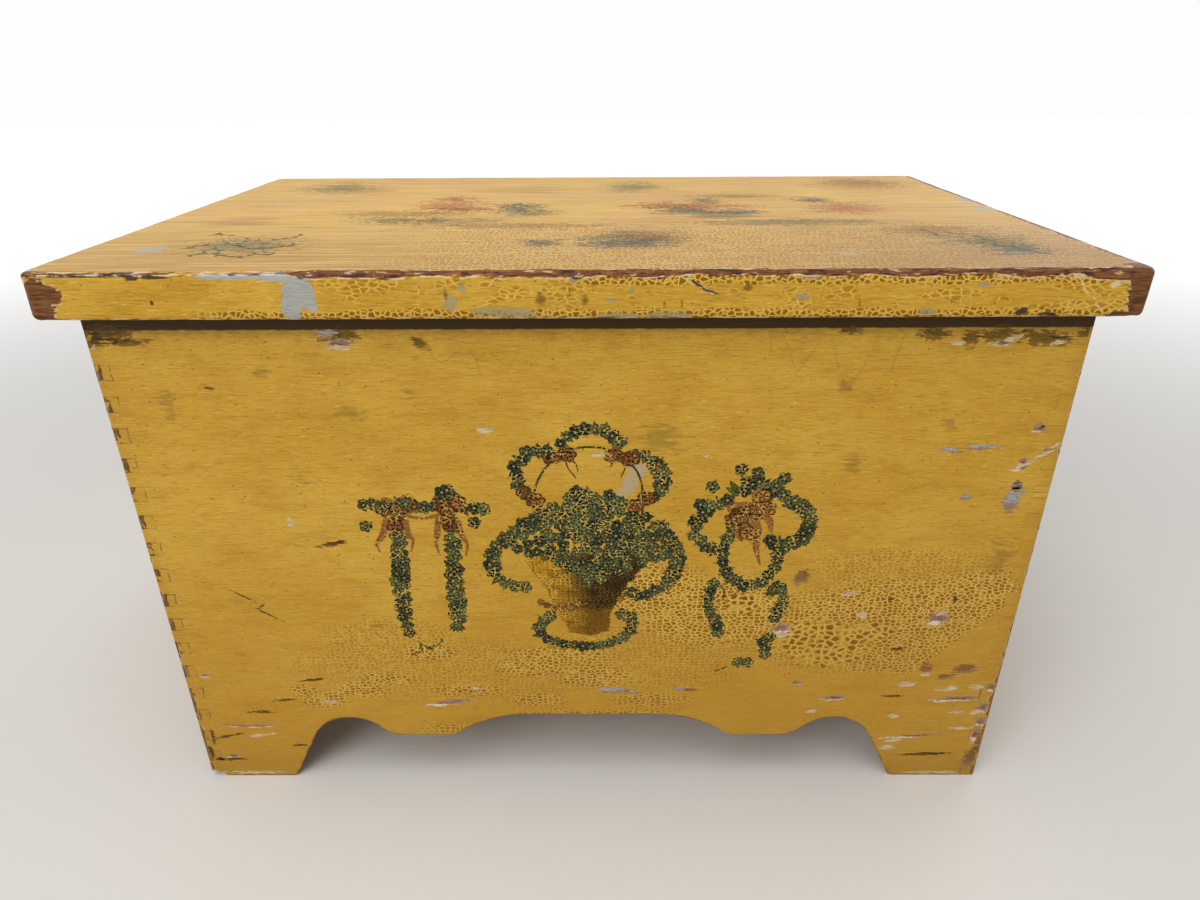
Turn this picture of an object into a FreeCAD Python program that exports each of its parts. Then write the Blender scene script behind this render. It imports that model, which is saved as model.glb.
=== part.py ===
import FreeCAD, Part
import math
import os
import Sketcher
from FreeCAD import Placement, Rotation, Vector

# A painted pine toy chest: a box-jointed carcase on bracket feet, cut from the same boards,
# a loose floor on cleats, and a heavy two-plank lid on a pair of butt hinges.
# Millimetres. X runs across the front, Y from front to back, Z up. The origin is on the
# floor, under the middle of the whole chest.

SIZES = [
    ("box_width", 541.0, "outside width of the box"),
    ("box_depth", 348.0, "outside depth of the box"),
    ("box_height", 338.1, "floor to the top edge of the boards"),
    ("board", 9.5, "thickness of the four boards"),
    ("finger_width", 9.525, "one finger of the box joints"),
    ("arch_height", 57.0, "middle of the front apron above the floor"),
    ("cove_height", 54.4, "top of the cove beside each foot"),
    ("lobe_height", 38.5, "lowest part of the apron above the floor"),
    ("lobe_flat", 30.5, "length of the flat under each lobe"),
    ("cove_setback", 105.0, "middle of the cove from the end of the board"),
    ("foot_width", 57.0, "width of a foot where its toe starts to round"),
    ("shoulder_radius", 73.0, "arc from the arch down to the lobe"),
    ("lobe_inner_radius", 14.0, "lobe corner towards the middle"),
    ("lobe_outer_radius", 21.0, "lobe corner towards the foot"),
    ("cove_radius", 28.6, "cove beside the foot"),
    ("toe_radius", 5.0, "rounding of the inner foot corner"),
    ("cleat_width", 14.0, "floor cleat, out from the wall"),
    ("cleat_height", 16.0, "floor cleat, upright"),
    ("cleat_reveal", 3.0, "cleats above the arch of the apron"),
    ("floor_thickness", 9.5, "floor planks"),
    ("fitting_gap", 0.5, "gap round the floor planks and cleats"),
    ("lid_overhang", 15.5, "lid past the front and both ends"),
    ("lid_thickness", 25.4, "lid planks"),
    ("lid_front_plank", 150.0, "depth of the front lid plank"),
    ("lid_corner_radius", 5.0, "front corners of the lid, in plan"),
    ("lid_top_round", 3.0, "rounding of the lid's top arris"),
    ("lid_bottom_round", 3.0, "rounding of the lid's bottom arris"),
    ("lid_seat_gap", 0.3, "lid above the board edges"),
    ("batten_width", 38.0, "lid batten, across"),
    ("batten_thickness", 12.0, "lid batten, down from the lid"),
    ("batten_end_gap", 22.0, "batten ends from the front and back boards"),
    ("batten_side_gap", 46.0, "battens from the end boards"),
    ("batten_chamfer", 3.0, "bevel round the underside of a batten"),
    ("batten_nail_end", 24.0, "outer batten nails from the batten's ends"),
    ("batten_nail_joint", 22.0, "inner batten nails from the plank joint"),
    ("hinge_width", 50.8, "length of a hinge along its pin"),
    ("hinge_setback", 86.0, "middle of a hinge from the end of the box"),
    ("leaf_height", 19.0, "hinge leaf, from the pin's axis"),
    ("leaf_thickness", 1.2, "hinge leaf"),
    ("leaf_corner_radius", 2.5, "outer corners of a leaf"),
    ("barrel_radius", 2.7, "outside of the hinge knuckles"),
    ("middle_knuckle", 17.0, "length of the lid leaf's knuckle"),
    ("pin_radius", 1.4, "hinge pin"),
    ("pin_clearance", 0.05, "pin in its knuckles"),
    ("knuckle_gap", 0.3, "between knuckles, and round them"),
    ("leaf_screw_drop", 12.5, "leaf screws from the pin's axis"),
    ("leaf_screw_spacing", 32.0, "between the two screws of a leaf"),
    ("hinge_screw_radius", 1.35, "hinge screw shank"),
    ("hinge_screw_head", 2.6, "radius of a hinge screw head"),
    ("hinge_screw_rise", 1.1, "height of a hinge screw head"),
    ("back_screw_length", 8.0, "screws of the leaf on the back board"),
    ("lid_screw_length", 15.0, "screws of the leaf on the lid"),
    ("fastener_clearance", 0.05, "holes round screws and nails"),
    ("nail_thickness", 1.6, "cut nail shank, both ways"),
    ("nail_head_width", 3.6, "cut nail head, both ways"),
    ("nail_head_rise", 0.8, "height of a cut nail's head"),
    ("floor_nail_length", 23.0, "floor nails under the head"),
    ("cleat_nail_length", 20.0, "cleat nails under the head"),
    ("batten_nail_length", 31.0, "batten nails under the head"),
    ("hole_depth_spare", 0.4, "blind holes past the points"),
    ("overrun", 4.0, "cuts past the surface they break"),
]

# Stations along a cleat, as shares of its length.
WALL_CLEAT_SHARES = (-0.27, 0.0, 0.27)
WALL_FLOOR_SHARES = (-0.4, -0.14, 0.14, 0.4)
END_CLEAT_SHARES = (-0.24, 0.24)
END_FLOOR_SHARES = (-0.38, -0.12, 0.12, 0.38)
SHANK_SIDES = 6
ROUNDING = 1e-6

HALF_WIDTH = "Sizes.box_width / 2"
HALF_DEPTH = "Sizes.box_depth / 2"
INNER_WIDTH = "(Sizes.box_width - 2 * Sizes.board)"
INNER_DEPTH = "(Sizes.box_depth - 2 * Sizes.board)"
AXIS_OFFSET = "(Sizes.barrel_radius + Sizes.knuckle_gap)"
BACK = f"((Sizes.box_depth + Sizes.lid_overhang - {AXIS_OFFSET} - Sizes.barrel_radius) / 2)"
FRONT = f"({BACK} - Sizes.box_depth)"
MIDDLE = f"({BACK} - {HALF_DEPTH})"
LID_BOTTOM = "(Sizes.box_height + Sizes.lid_seat_gap)"
AXIS_HEIGHT = "(Sizes.box_height + Sizes.lid_seat_gap / 2)"
HINGE_X = f"({HALF_WIDTH} - Sizes.hinge_setback)"
CLEAT_BOTTOM = "(Sizes.arch_height + Sizes.cleat_reveal)"
FLOOR_BOTTOM = f"({CLEAT_BOTTOM} + Sizes.cleat_height)"
WALL_CLEAT_LENGTH = f"({INNER_WIDTH} - 2 * Sizes.fitting_gap)"
END_CLEAT_LENGTH = f"({INNER_DEPTH} - 2 * Sizes.cleat_width - 2 * Sizes.fitting_gap)"
FLOOR_PLANK_WIDTH = f"(({INNER_DEPTH} - 3 * Sizes.fitting_gap) / 2)"
BATTEN_LENGTH = f"({INNER_DEPTH} - 2 * Sizes.batten_end_gap)"
BATTEN_X = f"({INNER_WIDTH} / 2 - Sizes.batten_side_gap - Sizes.batten_width / 2)"
LID_DEPTH = "(Sizes.box_depth + Sizes.lid_overhang)"
LID_HALF_WIDTH = f"({HALF_WIDTH} + Sizes.lid_overhang)"
PLANK_JOINT = f"(Sizes.lid_front_plank - {LID_DEPTH})"
HINGE_SCREW_HOLE = "(Sizes.hinge_screw_radius + Sizes.fastener_clearance)"
HALF_NAIL_HOLE = "(Sizes.nail_thickness / 2 + Sizes.fastener_clearance)"

START, END, CENTRE = range(1, 4)
LEVEL_AXIS, UPRIGHT_AXIS = range(-1, -3, -1)
ORIGIN = (LEVEL_AXIS, START)

doc = FreeCAD.newDocument("toy_chest")
sheet = doc.addObject("Spreadsheet::Sheet", "Sizes")
for row, (alias, value, note) in enumerate(SIZES, 1):
    sheet.set(f"A{row}", note)
    sheet.set(f"B{row}", str(value))
    sheet.setAlias(f"B{row}", alias)
doc.recompute()


def size(expression):
    """The value of an expression in the named sizes."""
    return float(sheet.evalExpression(expression))


# Sketches


def sketch_on(body, role, name, offset="0"):
    """Start a sketch on an origin plane of the body, offset along the plane's normal."""
    plane = next(item for item in body.Origin.OriginFeatures if item.Role == role)
    sketch = body.newObject("Sketcher::SketchObject", name)
    sketch.AttachmentSupport = [(plane, "")]
    sketch.MapMode = "FlatFace"
    sketch.setExpression("AttachmentOffset.Base.z", offset)
    return sketch


def fix(sketch, expression, kind, *refs):
    """Add a dimension to a sketch and tie it to an expression."""
    constraint = Sketcher.Constraint(kind, *refs, size(expression))
    index = sketch.addConstraint(constraint)
    sketch.setExpression(f"Constraints[{index}]", expression)


def place(sketch, point, x=None, y=None):
    """Hold a point of a sketch at expressions measured from the sketch's origin."""
    if x is not None:
        fix(sketch, x, "DistanceX", *ORIGIN, *point)
    if y is not None:
        fix(sketch, y, "DistanceY", *ORIGIN, *point)


def rectangle(sketch, left, bottom, right, top):
    """Draw a rectangle with its sides at the given expressions."""
    x0, y0, x1, y1 = (size(side) for side in (left, bottom, right, top))
    corners = [Vector(x0, y0), Vector(x1, y0), Vector(x1, y1), Vector(x0, y1)]
    first = len(sketch.Geometry)
    for index, corner in enumerate(corners):
        sketch.addGeometry(Part.LineSegment(corner, corners[(index + 1) % 4]))
    for index in range(4):
        after = first + (index + 1) % 4
        sketch.addConstraint(Sketcher.Constraint("Coincident", first + index, END, after, START))
        kind = "Vertical" if index % 2 else "Horizontal"
        sketch.addConstraint(Sketcher.Constraint(kind, first + index))
    place(sketch, (first, START), left, bottom)
    place(sketch, (first + 2, START), right, top)


def circle(sketch, x, y, radius):
    """Draw a circle whose centre and radius follow expressions."""
    round_line = Part.Circle(Vector(size(x), size(y)), Vector(0, 0, 1), size(radius))
    index = sketch.addGeometry(round_line)
    place(sketch, (index, CENTRE), x, y)
    fix(sketch, radius, "Radius", index)


def square(sketch, x, y, half):
    """Draw a square round a centre, from half its side."""
    rectangle(sketch, f"{x} - {half}", f"{y} - {half}", f"{x} + {half}", f"{y} + {half}")


def arc(centre, radius, low, high):
    """An arc of a circle, from the low angle round to the high one."""
    return Part.ArcOfCircle(Part.Circle(centre, Vector(0, 0, 1), radius), low, high)


def angle_to(start, end):
    """The direction from one point to another, in radians from 0 to a full turn."""
    return math.atan2(end.y - start.y, end.x - start.x) % (2 * math.pi)


def chain(sketch, steps):
    """Add a closed run of edges. Each step is an edge, its two ends and how it meets the next."""
    first = len(sketch.Geometry)
    for edge, *_ in steps:
        sketch.addGeometry(edge)
    for index, (_, _, leaves, joint) in enumerate(steps):
        after = (index + 1) % len(steps)
        enters = steps[after][1]
        sketch.addConstraint(
            Sketcher.Constraint(joint, first + index, leaves, first + after, enters))


def apron_outline(sketch, half_length, scalloped):
    """Half of the opening between two feet, from the middle of the board to a toe."""
    cove = Vector(size(f"{half_length} - Sizes.cove_setback"),
                  size("Sizes.cove_height - Sizes.cove_radius"))
    toe = Vector(size(f"{half_length} - Sizes.foot_width"), size("Sizes.toe_radius"))
    cove_radius, toe_radius = size("Sizes.cove_radius"), size("Sizes.toe_radius")
    between = toe - cove
    slope = angle_to(cove, toe) + math.acos((cove_radius + toe_radius) / between.Length)
    slope %= 2 * math.pi
    normal = Vector(math.cos(slope), math.sin(slope))
    slope_top = cove + normal * cove_radius
    slope_foot = toe - normal * toe_radius
    floor_line = -size("Sizes.overrun")

    if scalloped:
        head, cove_start = scallop_edges(cove, cove_radius)
    else:
        crown = Vector(cove.x, cove.y + cove_radius)
        head = [(Part.LineSegment(Vector(0, crown.y), crown), START, END, "Tangent")]
        cove_start = math.pi / 2
    toe_end = Vector(toe.x, 0)
    toe_below = Vector(toe.x, floor_line)
    middle_below = Vector(0, floor_line)
    middle_top = head[0][0].StartPoint
    tail = [
        (arc(cove, cove_radius, slope, cove_start), END, START, "Tangent"),
        (Part.LineSegment(slope_top, slope_foot), START, END, "Tangent"),
        (arc(toe, toe_radius, slope + math.pi, 1.5 * math.pi), START, END, "Coincident"),
        (Part.LineSegment(toe_end, toe_below), START, END, "Coincident"),
        (Part.LineSegment(toe_below, middle_below), START, END, "Coincident"),
        (Part.LineSegment(middle_below, middle_top), START, END, "Coincident"),
    ]
    chain(sketch, head + tail)
    hold_apron(sketch, half_length, scalloped, len(head))


def scallop_edges(cove, cove_radius):
    """The shaped front edge, from the middle to the cove, and the angle where the cove starts."""
    arch, lobe = size("Sizes.arch_height"), size("Sizes.lobe_height")
    shoulder_radius = size("Sizes.shoulder_radius")
    inner_radius, outer_radius = size("Sizes.lobe_inner_radius"), size("Sizes.lobe_outer_radius")
    outer_y = lobe + outer_radius
    reach = math.sqrt((outer_radius + cove_radius) ** 2 - (outer_y - cove.y) ** 2)
    outer = Vector(cove.x - reach, outer_y)
    inner = Vector(outer.x - size("Sizes.lobe_flat"), lobe + inner_radius)
    shoulder_y = arch - shoulder_radius
    reach = math.sqrt((shoulder_radius + inner_radius) ** 2 - (inner.y - shoulder_y) ** 2)
    shoulder = Vector(inner.x - reach, shoulder_y)
    flat = Part.LineSegment(Vector(inner.x, lobe), Vector(outer.x, lobe))
    edges = [
        (Part.LineSegment(Vector(0, arch), Vector(shoulder.x, arch)), START, END, "Tangent"),
        (arc(shoulder, shoulder_radius, angle_to(shoulder, inner), math.pi / 2),
         END, START, "Tangent"),
        (arc(inner, inner_radius, angle_to(inner, shoulder), 1.5 * math.pi),
         START, END, "Tangent"),
        (flat, START, END, "Tangent"),
        (arc(outer, outer_radius, 1.5 * math.pi, angle_to(outer, cove)), START, END, "Tangent"),
    ]
    return edges, angle_to(cove, outer)


def hold_apron(sketch, half_length, scalloped, cove):
    """Tie the apron outline to the named sizes. The cove is the edge of that index."""
    slope_line, toe, toe_side, base, middle = (cove + step for step in range(1, 6))
    for edge in (toe_side, middle):
        sketch.addConstraint(Sketcher.Constraint("Vertical", edge))
    sketch.addConstraint(Sketcher.Constraint("Horizontal", base))
    sketch.addConstraint(Sketcher.Constraint("Horizontal", 0))
    sketch.addConstraint(Sketcher.Constraint("Vertical", toe, END, toe, CENTRE))
    sketch.addConstraint(Sketcher.Constraint("PointOnObject", middle, END, UPRIGHT_AXIS))
    place(sketch, (base, START), y="-Sizes.overrun")
    place(sketch, (toe, CENTRE), f"{half_length} - Sizes.foot_width", "Sizes.toe_radius")
    place(sketch, (cove, CENTRE), f"{half_length} - Sizes.cove_setback",
          "Sizes.cove_height - Sizes.cove_radius")
    fix(sketch, "Sizes.cove_radius", "Radius", cove)
    fix(sketch, "Sizes.toe_radius", "Radius", toe)
    if scalloped:
        shoulder, inner, flat, outer = range(1, 5)
        sketch.addConstraint(Sketcher.Constraint("Horizontal", flat))
        place(sketch, (0, START), y="Sizes.arch_height")
        place(sketch, (flat, START), y="Sizes.lobe_height")
        fix(sketch, "Sizes.lobe_flat", "DistanceX", flat, START, flat, END)
        fix(sketch, "Sizes.shoulder_radius", "Radius", shoulder)
        fix(sketch, "Sizes.lobe_inner_radius", "Radius", inner)
        fix(sketch, "Sizes.lobe_outer_radius", "Radius", outer)


# Solids


def body_named(name):
    """A new, empty body for one sub-part."""
    body = doc.addObject("PartDesign::Body", name)
    body.Label = name
    return body


def seat(part, x="0", y="0", z="0", yaw=0.0):
    """Place a sub-part by expressions, turned about the upright axis."""
    part.Placement = Placement(Vector(), Rotation(Vector(0, 0, 1), yaw))
    for axis, expression in zip("xyz", (x, y, z)):
        part.setExpression(f"Placement.Base.{axis}", expression)


def pad(body, sketch, length, reverse=False, both_ways=False):
    """Thicken a sketch."""
    feature = body.newObject("PartDesign::Pad", f"{sketch.Name}_pad")
    feature.Profile = sketch
    feature.setExpression("Length", length)
    feature.Reversed = reverse
    if both_ways:
        feature.SideType = "Symmetric"
    body.Tip = feature
    doc.recompute()
    return feature


def cut(body, sketch, depth=None, reverse=False, both_ways=False):
    """Cut a sketch out of the body, right through unless a depth is given."""
    before = body.Shape.Volume
    feature = body.newObject("PartDesign::Pocket", f"{sketch.Name}_cut")
    feature.Profile = sketch
    feature.Reversed = reverse
    if depth:
        feature.setExpression("Length", depth)
    else:
        feature.Type = "ThroughAll"
    if both_ways:
        feature.SideType = "Symmetric"
    body.Tip = feature
    doc.recompute()
    if body.Shape.Volume >= before:
        raise ValueError(f"{body.Label}: {feature.Name} removes nothing")
    return feature


def mirror(body, feature, role):
    """Repeat a feature on the other side of an origin plane."""
    plane = next(item for item in body.Origin.OriginFeatures if item.Role == role)
    twin = body.newObject("PartDesign::Mirrored", f"{feature.Name}_twin")
    twin.Originals = [feature]
    twin.MirrorPlane = (plane, [""])
    body.Tip = twin
    doc.recompute()


def repeat_down(body, feature, spacing, count):
    """Repeat a feature downwards."""
    upright = next(item for item in body.Origin.OriginFeatures if item.Role == "Z_Axis")
    row = body.newObject("PartDesign::LinearPattern", f"{feature.Name}_row")
    row.Originals = [feature]
    row.Direction = (upright, [""])
    row.Reversed = True
    row.Mode = "Spacing"
    row.setExpression("Offset", spacing)
    row.setExpression("Occurrences", count)
    body.Tip = row
    doc.recompute()


def ease(body, kind, reach, wanted):
    """Round or bevel the edges that the test picks."""
    base = body.Tip
    names = [f"Edge{index}" for index, edge in enumerate(base.Shape.Edges, 1) if wanted(edge)]
    feature = body.newObject(f"PartDesign::{kind}", f"{base.Name}_{kind.lower()}")
    feature.Base = (base, names)
    feature.setExpression("Radius" if kind == "Fillet" else "Size", reach)
    body.Tip = feature
    doc.recompute()


def near(first, second):
    """Whether two places are the same, within rounding."""
    return math.isclose(first, second, abs_tol=ROUNDING)


# The box


def box_board(name, length, top_finger, scalloped, x, y, yaw):
    """One wall of the box, with its box joints and its bracket feet. Its outside is at y = 0."""
    body = body_named(name)
    half = f"({length} / 2)"
    outline = sketch_on(body, "XZ_Plane", f"{name}_outline")
    rectangle(outline, f"-{half}", "0", half, "Sizes.box_height")
    pad(body, outline, "Sizes.board", reverse=True)
    apron = sketch_on(body, "XZ_Plane", f"{name}_apron")
    apron_outline(apron, half, scalloped)
    mirror(body, cut(body, apron), "YZ_Plane")
    notches = sketch_on(body, "XZ_Plane", f"{name}_notches")
    skipped = "Sizes.finger_width" if top_finger else "0"
    rise = "0" if top_finger else "Sizes.overrun"
    high = f"Sizes.box_height - {skipped}"
    low = f"{high} - Sizes.finger_width"
    inner = f"({half} - Sizes.board)"
    outer = f"({half} + Sizes.overrun)"
    rectangle(notches, f"-{outer}", low, f"-{inner}", high)
    rectangle(notches, inner, low, outer, high)
    count = f"ceil(({low} + Sizes.finger_width) / (2 * Sizes.finger_width))"
    repeat_down(body, cut(body, notches), "2 * Sizes.finger_width", count)
    seat(body, x, y, yaw=yaw)
    return body


def cleat_nail_holes(body, length, shares):
    """Blind holes in a wall's inner face, where the cleat's nails end."""
    holes = sketch_on(body, "XZ_Plane", f"{body.Name}_cleat_holes", "-Sizes.board")
    for share in shares:
        square(holes, f"{share} * {length}", f"{CLEAT_BOTTOM} + Sizes.cleat_height / 2",
               HALF_NAIL_HOLE)
    depth = "Sizes.cleat_nail_length - Sizes.cleat_width + Sizes.hole_depth_spare"
    cut(body, holes, depth, reverse=True)


def hinge_screw_holes(body, middles, height, offset, length, reverse):
    """Blind holes for the screws of both hinges. The sketch lies on the face they enter."""
    holes = sketch_on(body, "XZ_Plane", f"{body.Name}_hinge_holes", offset)
    for middle in middles:
        for side in (-1, 1):
            circle(holes, f"{middle} + {side} * Sizes.leaf_screw_spacing / 2", height,
                   HINGE_SCREW_HOLE)
    depth = f"{length} - Sizes.leaf_thickness + Sizes.hole_depth_spare"
    cut(body, holes, depth, reverse=reverse)


def make_box():
    """The four walls."""
    front = box_board("front_board", "Sizes.box_width", True, True, "0", FRONT, 0.0)
    back = box_board("back_board", "Sizes.box_width", True, False, "0", BACK, 180.0)
    left = box_board("left_end_board", "Sizes.box_depth", False, False,
                     f"-{HALF_WIDTH}", MIDDLE, -90.0)
    right = box_board("right_end_board", "Sizes.box_depth", False, False,
                      HALF_WIDTH, MIDDLE, 90.0)
    for wall in (front, back):
        cleat_nail_holes(wall, WALL_CLEAT_LENGTH, WALL_CLEAT_SHARES)
    for wall in (left, right):
        cleat_nail_holes(wall, END_CLEAT_LENGTH, END_CLEAT_SHARES)
    hinge_screw_holes(back, (f"-{HINGE_X}", HINGE_X), f"{AXIS_HEIGHT} - Sizes.leaf_screw_drop",
                      "0", "Sizes.back_screw_length", False)


# The floor


def floor_cleat(name, length, cleat_shares, floor_shares, x, y, yaw):
    """A cleat along the foot of a wall. The wall's face is at y = 0."""
    body = body_named(name)
    section = sketch_on(body, "XZ_Plane", f"{name}_face")
    rectangle(section, f"-{length} / 2", "0", f"{length} / 2", "Sizes.cleat_height")
    pad(body, section, "Sizes.cleat_width", reverse=True)
    wall_nails = sketch_on(body, "XZ_Plane", f"{name}_wall_nails")
    for share in cleat_shares:
        square(wall_nails, f"{share} * {length}", "Sizes.cleat_height / 2", HALF_NAIL_HOLE)
    cut(body, wall_nails)
    floor_nails = sketch_on(body, "XY_Plane", f"{name}_floor_nails", "Sizes.cleat_height")
    for share in floor_shares:
        square(floor_nails, f"{share} * {length}", "Sizes.cleat_width / 2", HALF_NAIL_HOLE)
    cut(body, floor_nails,
        "Sizes.floor_nail_length - Sizes.floor_thickness + Sizes.hole_depth_spare")
    seat(body, x, y, CLEAT_BOTTOM, yaw)


def floor_plank(name, y, wall_nail_y, end_side):
    """Half of the floor. Its front edge is at y = 0, and nails hold it along three edges."""
    body = body_named(name)
    half = f"({WALL_CLEAT_LENGTH} / 2)"
    outline = sketch_on(body, "XY_Plane", f"{name}_outline")
    rectangle(outline, f"-{half}", "0", half, FLOOR_PLANK_WIDTH)
    pad(body, outline, "Sizes.floor_thickness")
    nails = sketch_on(body, "XY_Plane", f"{name}_nails", "Sizes.floor_thickness")
    for share in WALL_FLOOR_SHARES:
        square(nails, f"{share} * {WALL_CLEAT_LENGTH}", wall_nail_y, HALF_NAIL_HOLE)
    for share in END_FLOOR_SHARES:
        if share * end_side > 0:
            along = f"{MIDDLE} + {share} * {END_CLEAT_LENGTH} - {y}"
            for side in ("-1", "1"):
                square(nails, f"{side} * {END_NAIL_X}", along, HALF_NAIL_HOLE)
    cut(body, nails)
    seat(body, "0", y, FLOOR_BOTTOM)


END_NAIL_X = f"({INNER_WIDTH} / 2 - Sizes.cleat_width / 2)"
FRONT_CLEAT_Y = f"({FRONT} + Sizes.board)"
REAR_CLEAT_Y = f"({BACK} - Sizes.board)"
FRONT_PLANK_Y = f"({FRONT_CLEAT_Y} + Sizes.fitting_gap)"
REAR_PLANK_Y = f"({FRONT_PLANK_Y} + {FLOOR_PLANK_WIDTH} + Sizes.fitting_gap)"


def make_floor():
    """Four cleats, and the two planks that lie on them."""
    floor_cleat("front_floor_cleat", WALL_CLEAT_LENGTH, WALL_CLEAT_SHARES, WALL_FLOOR_SHARES,
                "0", FRONT_CLEAT_Y, 0.0)
    floor_cleat("rear_floor_cleat", WALL_CLEAT_LENGTH, WALL_CLEAT_SHARES, WALL_FLOOR_SHARES,
                "0", REAR_CLEAT_Y, 180.0)
    floor_cleat("left_floor_cleat", END_CLEAT_LENGTH, END_CLEAT_SHARES, END_FLOOR_SHARES,
                f"-{INNER_WIDTH} / 2", MIDDLE, -90.0)
    floor_cleat("right_floor_cleat", END_CLEAT_LENGTH, END_CLEAT_SHARES, END_FLOOR_SHARES,
                f"{INNER_WIDTH} / 2", MIDDLE, 90.0)
    floor_plank("floor_front_plank", FRONT_PLANK_Y,
                "Sizes.cleat_width / 2 - Sizes.fitting_gap", -1)
    floor_plank("floor_rear_plank", REAR_PLANK_Y,
                f"{FLOOR_PLANK_WIDTH} + Sizes.fitting_gap - Sizes.cleat_width / 2", 1)


# The lid


def batten_nail_ys():
    """The nails of a batten, measured from the back edge of the lid, by plank."""
    batten_front = f"(-Sizes.board - Sizes.batten_end_gap - {BATTEN_LENGTH})"
    batten_rear = "(-Sizes.board - Sizes.batten_end_gap)"
    front = (f"{batten_front} + Sizes.batten_nail_end",
             f"{PLANK_JOINT} - Sizes.batten_nail_joint")
    rear = (f"{PLANK_JOINT} + Sizes.batten_nail_joint",
            f"{batten_rear} - Sizes.batten_nail_end")
    return front, rear


def lid_plank(name, front_y, rear_y, corner_y, eased_back):
    """One plank of the lid. The lid's back edge is at y = 0 and its underside at z = 0."""
    body = body_named(name)
    outline = sketch_on(body, "XY_Plane", f"{name}_outline")
    rectangle(outline, f"-{LID_HALF_WIDTH}", front_y, LID_HALF_WIDTH, rear_y)
    pad(body, outline, "Sizes.lid_thickness")
    corner, half_width, top = size(corner_y), size(LID_HALF_WIDTH), size("Sizes.lid_thickness")

    def upright_corner(edge):
        middle = edge.CenterOfMass
        return near(middle.y, corner) and near(abs(middle.x), half_width) and near(
            middle.z, top / 2)

    def outer_arris(edge, level, with_back):
        box = edge.BoundBox
        if not near(box.ZMin, level) or not near(box.ZMax, level):
            return False
        if near(box.YMin, size(PLANK_JOINT)) and near(box.YMax, size(PLANK_JOINT)):
            return False
        return with_back or not near(box.YMin, 0.0) or not near(box.YMax, 0.0)

    ease(body, "Fillet", "Sizes.lid_corner_radius", upright_corner)
    ease(body, "Fillet", "Sizes.lid_top_round", lambda edge: outer_arris(edge, top, True))
    ease(body, "Fillet", "Sizes.lid_bottom_round",
         lambda edge: outer_arris(edge, 0.0, eased_back))
    seat(body, "0", BACK, LID_BOTTOM)
    return body


def batten_holes_in(body, ys):
    """Blind holes in the underside of a plank, where the batten nails end."""
    holes = sketch_on(body, "XY_Plane", f"{body.Name}_batten_holes")
    for side in ("-1", "1"):
        for y in ys:
            square(holes, f"{side} * {BATTEN_X}", y, HALF_NAIL_HOLE)
    depth = "Sizes.batten_nail_length - Sizes.batten_thickness + Sizes.hole_depth_spare"
    cut(body, holes, depth, reverse=True)


def lid_batten(name, side):
    """A batten under both lid planks. Its top is at z = 0, level with the lid's underside."""
    body = body_named(name)
    outline = sketch_on(body, "XY_Plane", f"{name}_outline")
    rear = "(-Sizes.board - Sizes.batten_end_gap)"
    rectangle(outline, "-Sizes.batten_width / 2", f"{rear} - {BATTEN_LENGTH}",
              "Sizes.batten_width / 2", rear)
    pad(body, outline, "Sizes.batten_thickness", reverse=True)
    bottom = -size("Sizes.batten_thickness")
    ease(body, "Chamfer", "Sizes.batten_chamfer",
         lambda edge: near(edge.BoundBox.ZMax, bottom) and near(edge.BoundBox.ZMin, bottom))
    nails = sketch_on(body, "XY_Plane", f"{name}_nails")
    for ys in batten_nail_ys():
        for y in ys:
            square(nails, "0", y, HALF_NAIL_HOLE)
    cut(body, nails)
    seat(body, f"{side} * {BATTEN_X}", BACK, LID_BOTTOM)


def make_lid():
    """Two planks edge to edge, and the battens that keep them flat."""
    front_ys, rear_ys = batten_nail_ys()
    front = lid_plank("lid_front_plank", f"-{LID_DEPTH}", PLANK_JOINT, f"-{LID_DEPTH}", True)
    rear = lid_plank("lid_rear_plank", PLANK_JOINT, "0", "0", False)
    batten_holes_in(front, front_ys)
    batten_holes_in(rear, rear_ys)
    hinge_screw_holes(rear, (f"-{HINGE_X}", HINGE_X),
                      f"{AXIS_HEIGHT} - {LID_BOTTOM} + Sizes.leaf_screw_drop", "0",
                      "Sizes.lid_screw_length", True)
    lid_batten("left_lid_batten", "-1")
    lid_batten("right_lid_batten", "1")


# The hinges


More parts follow.
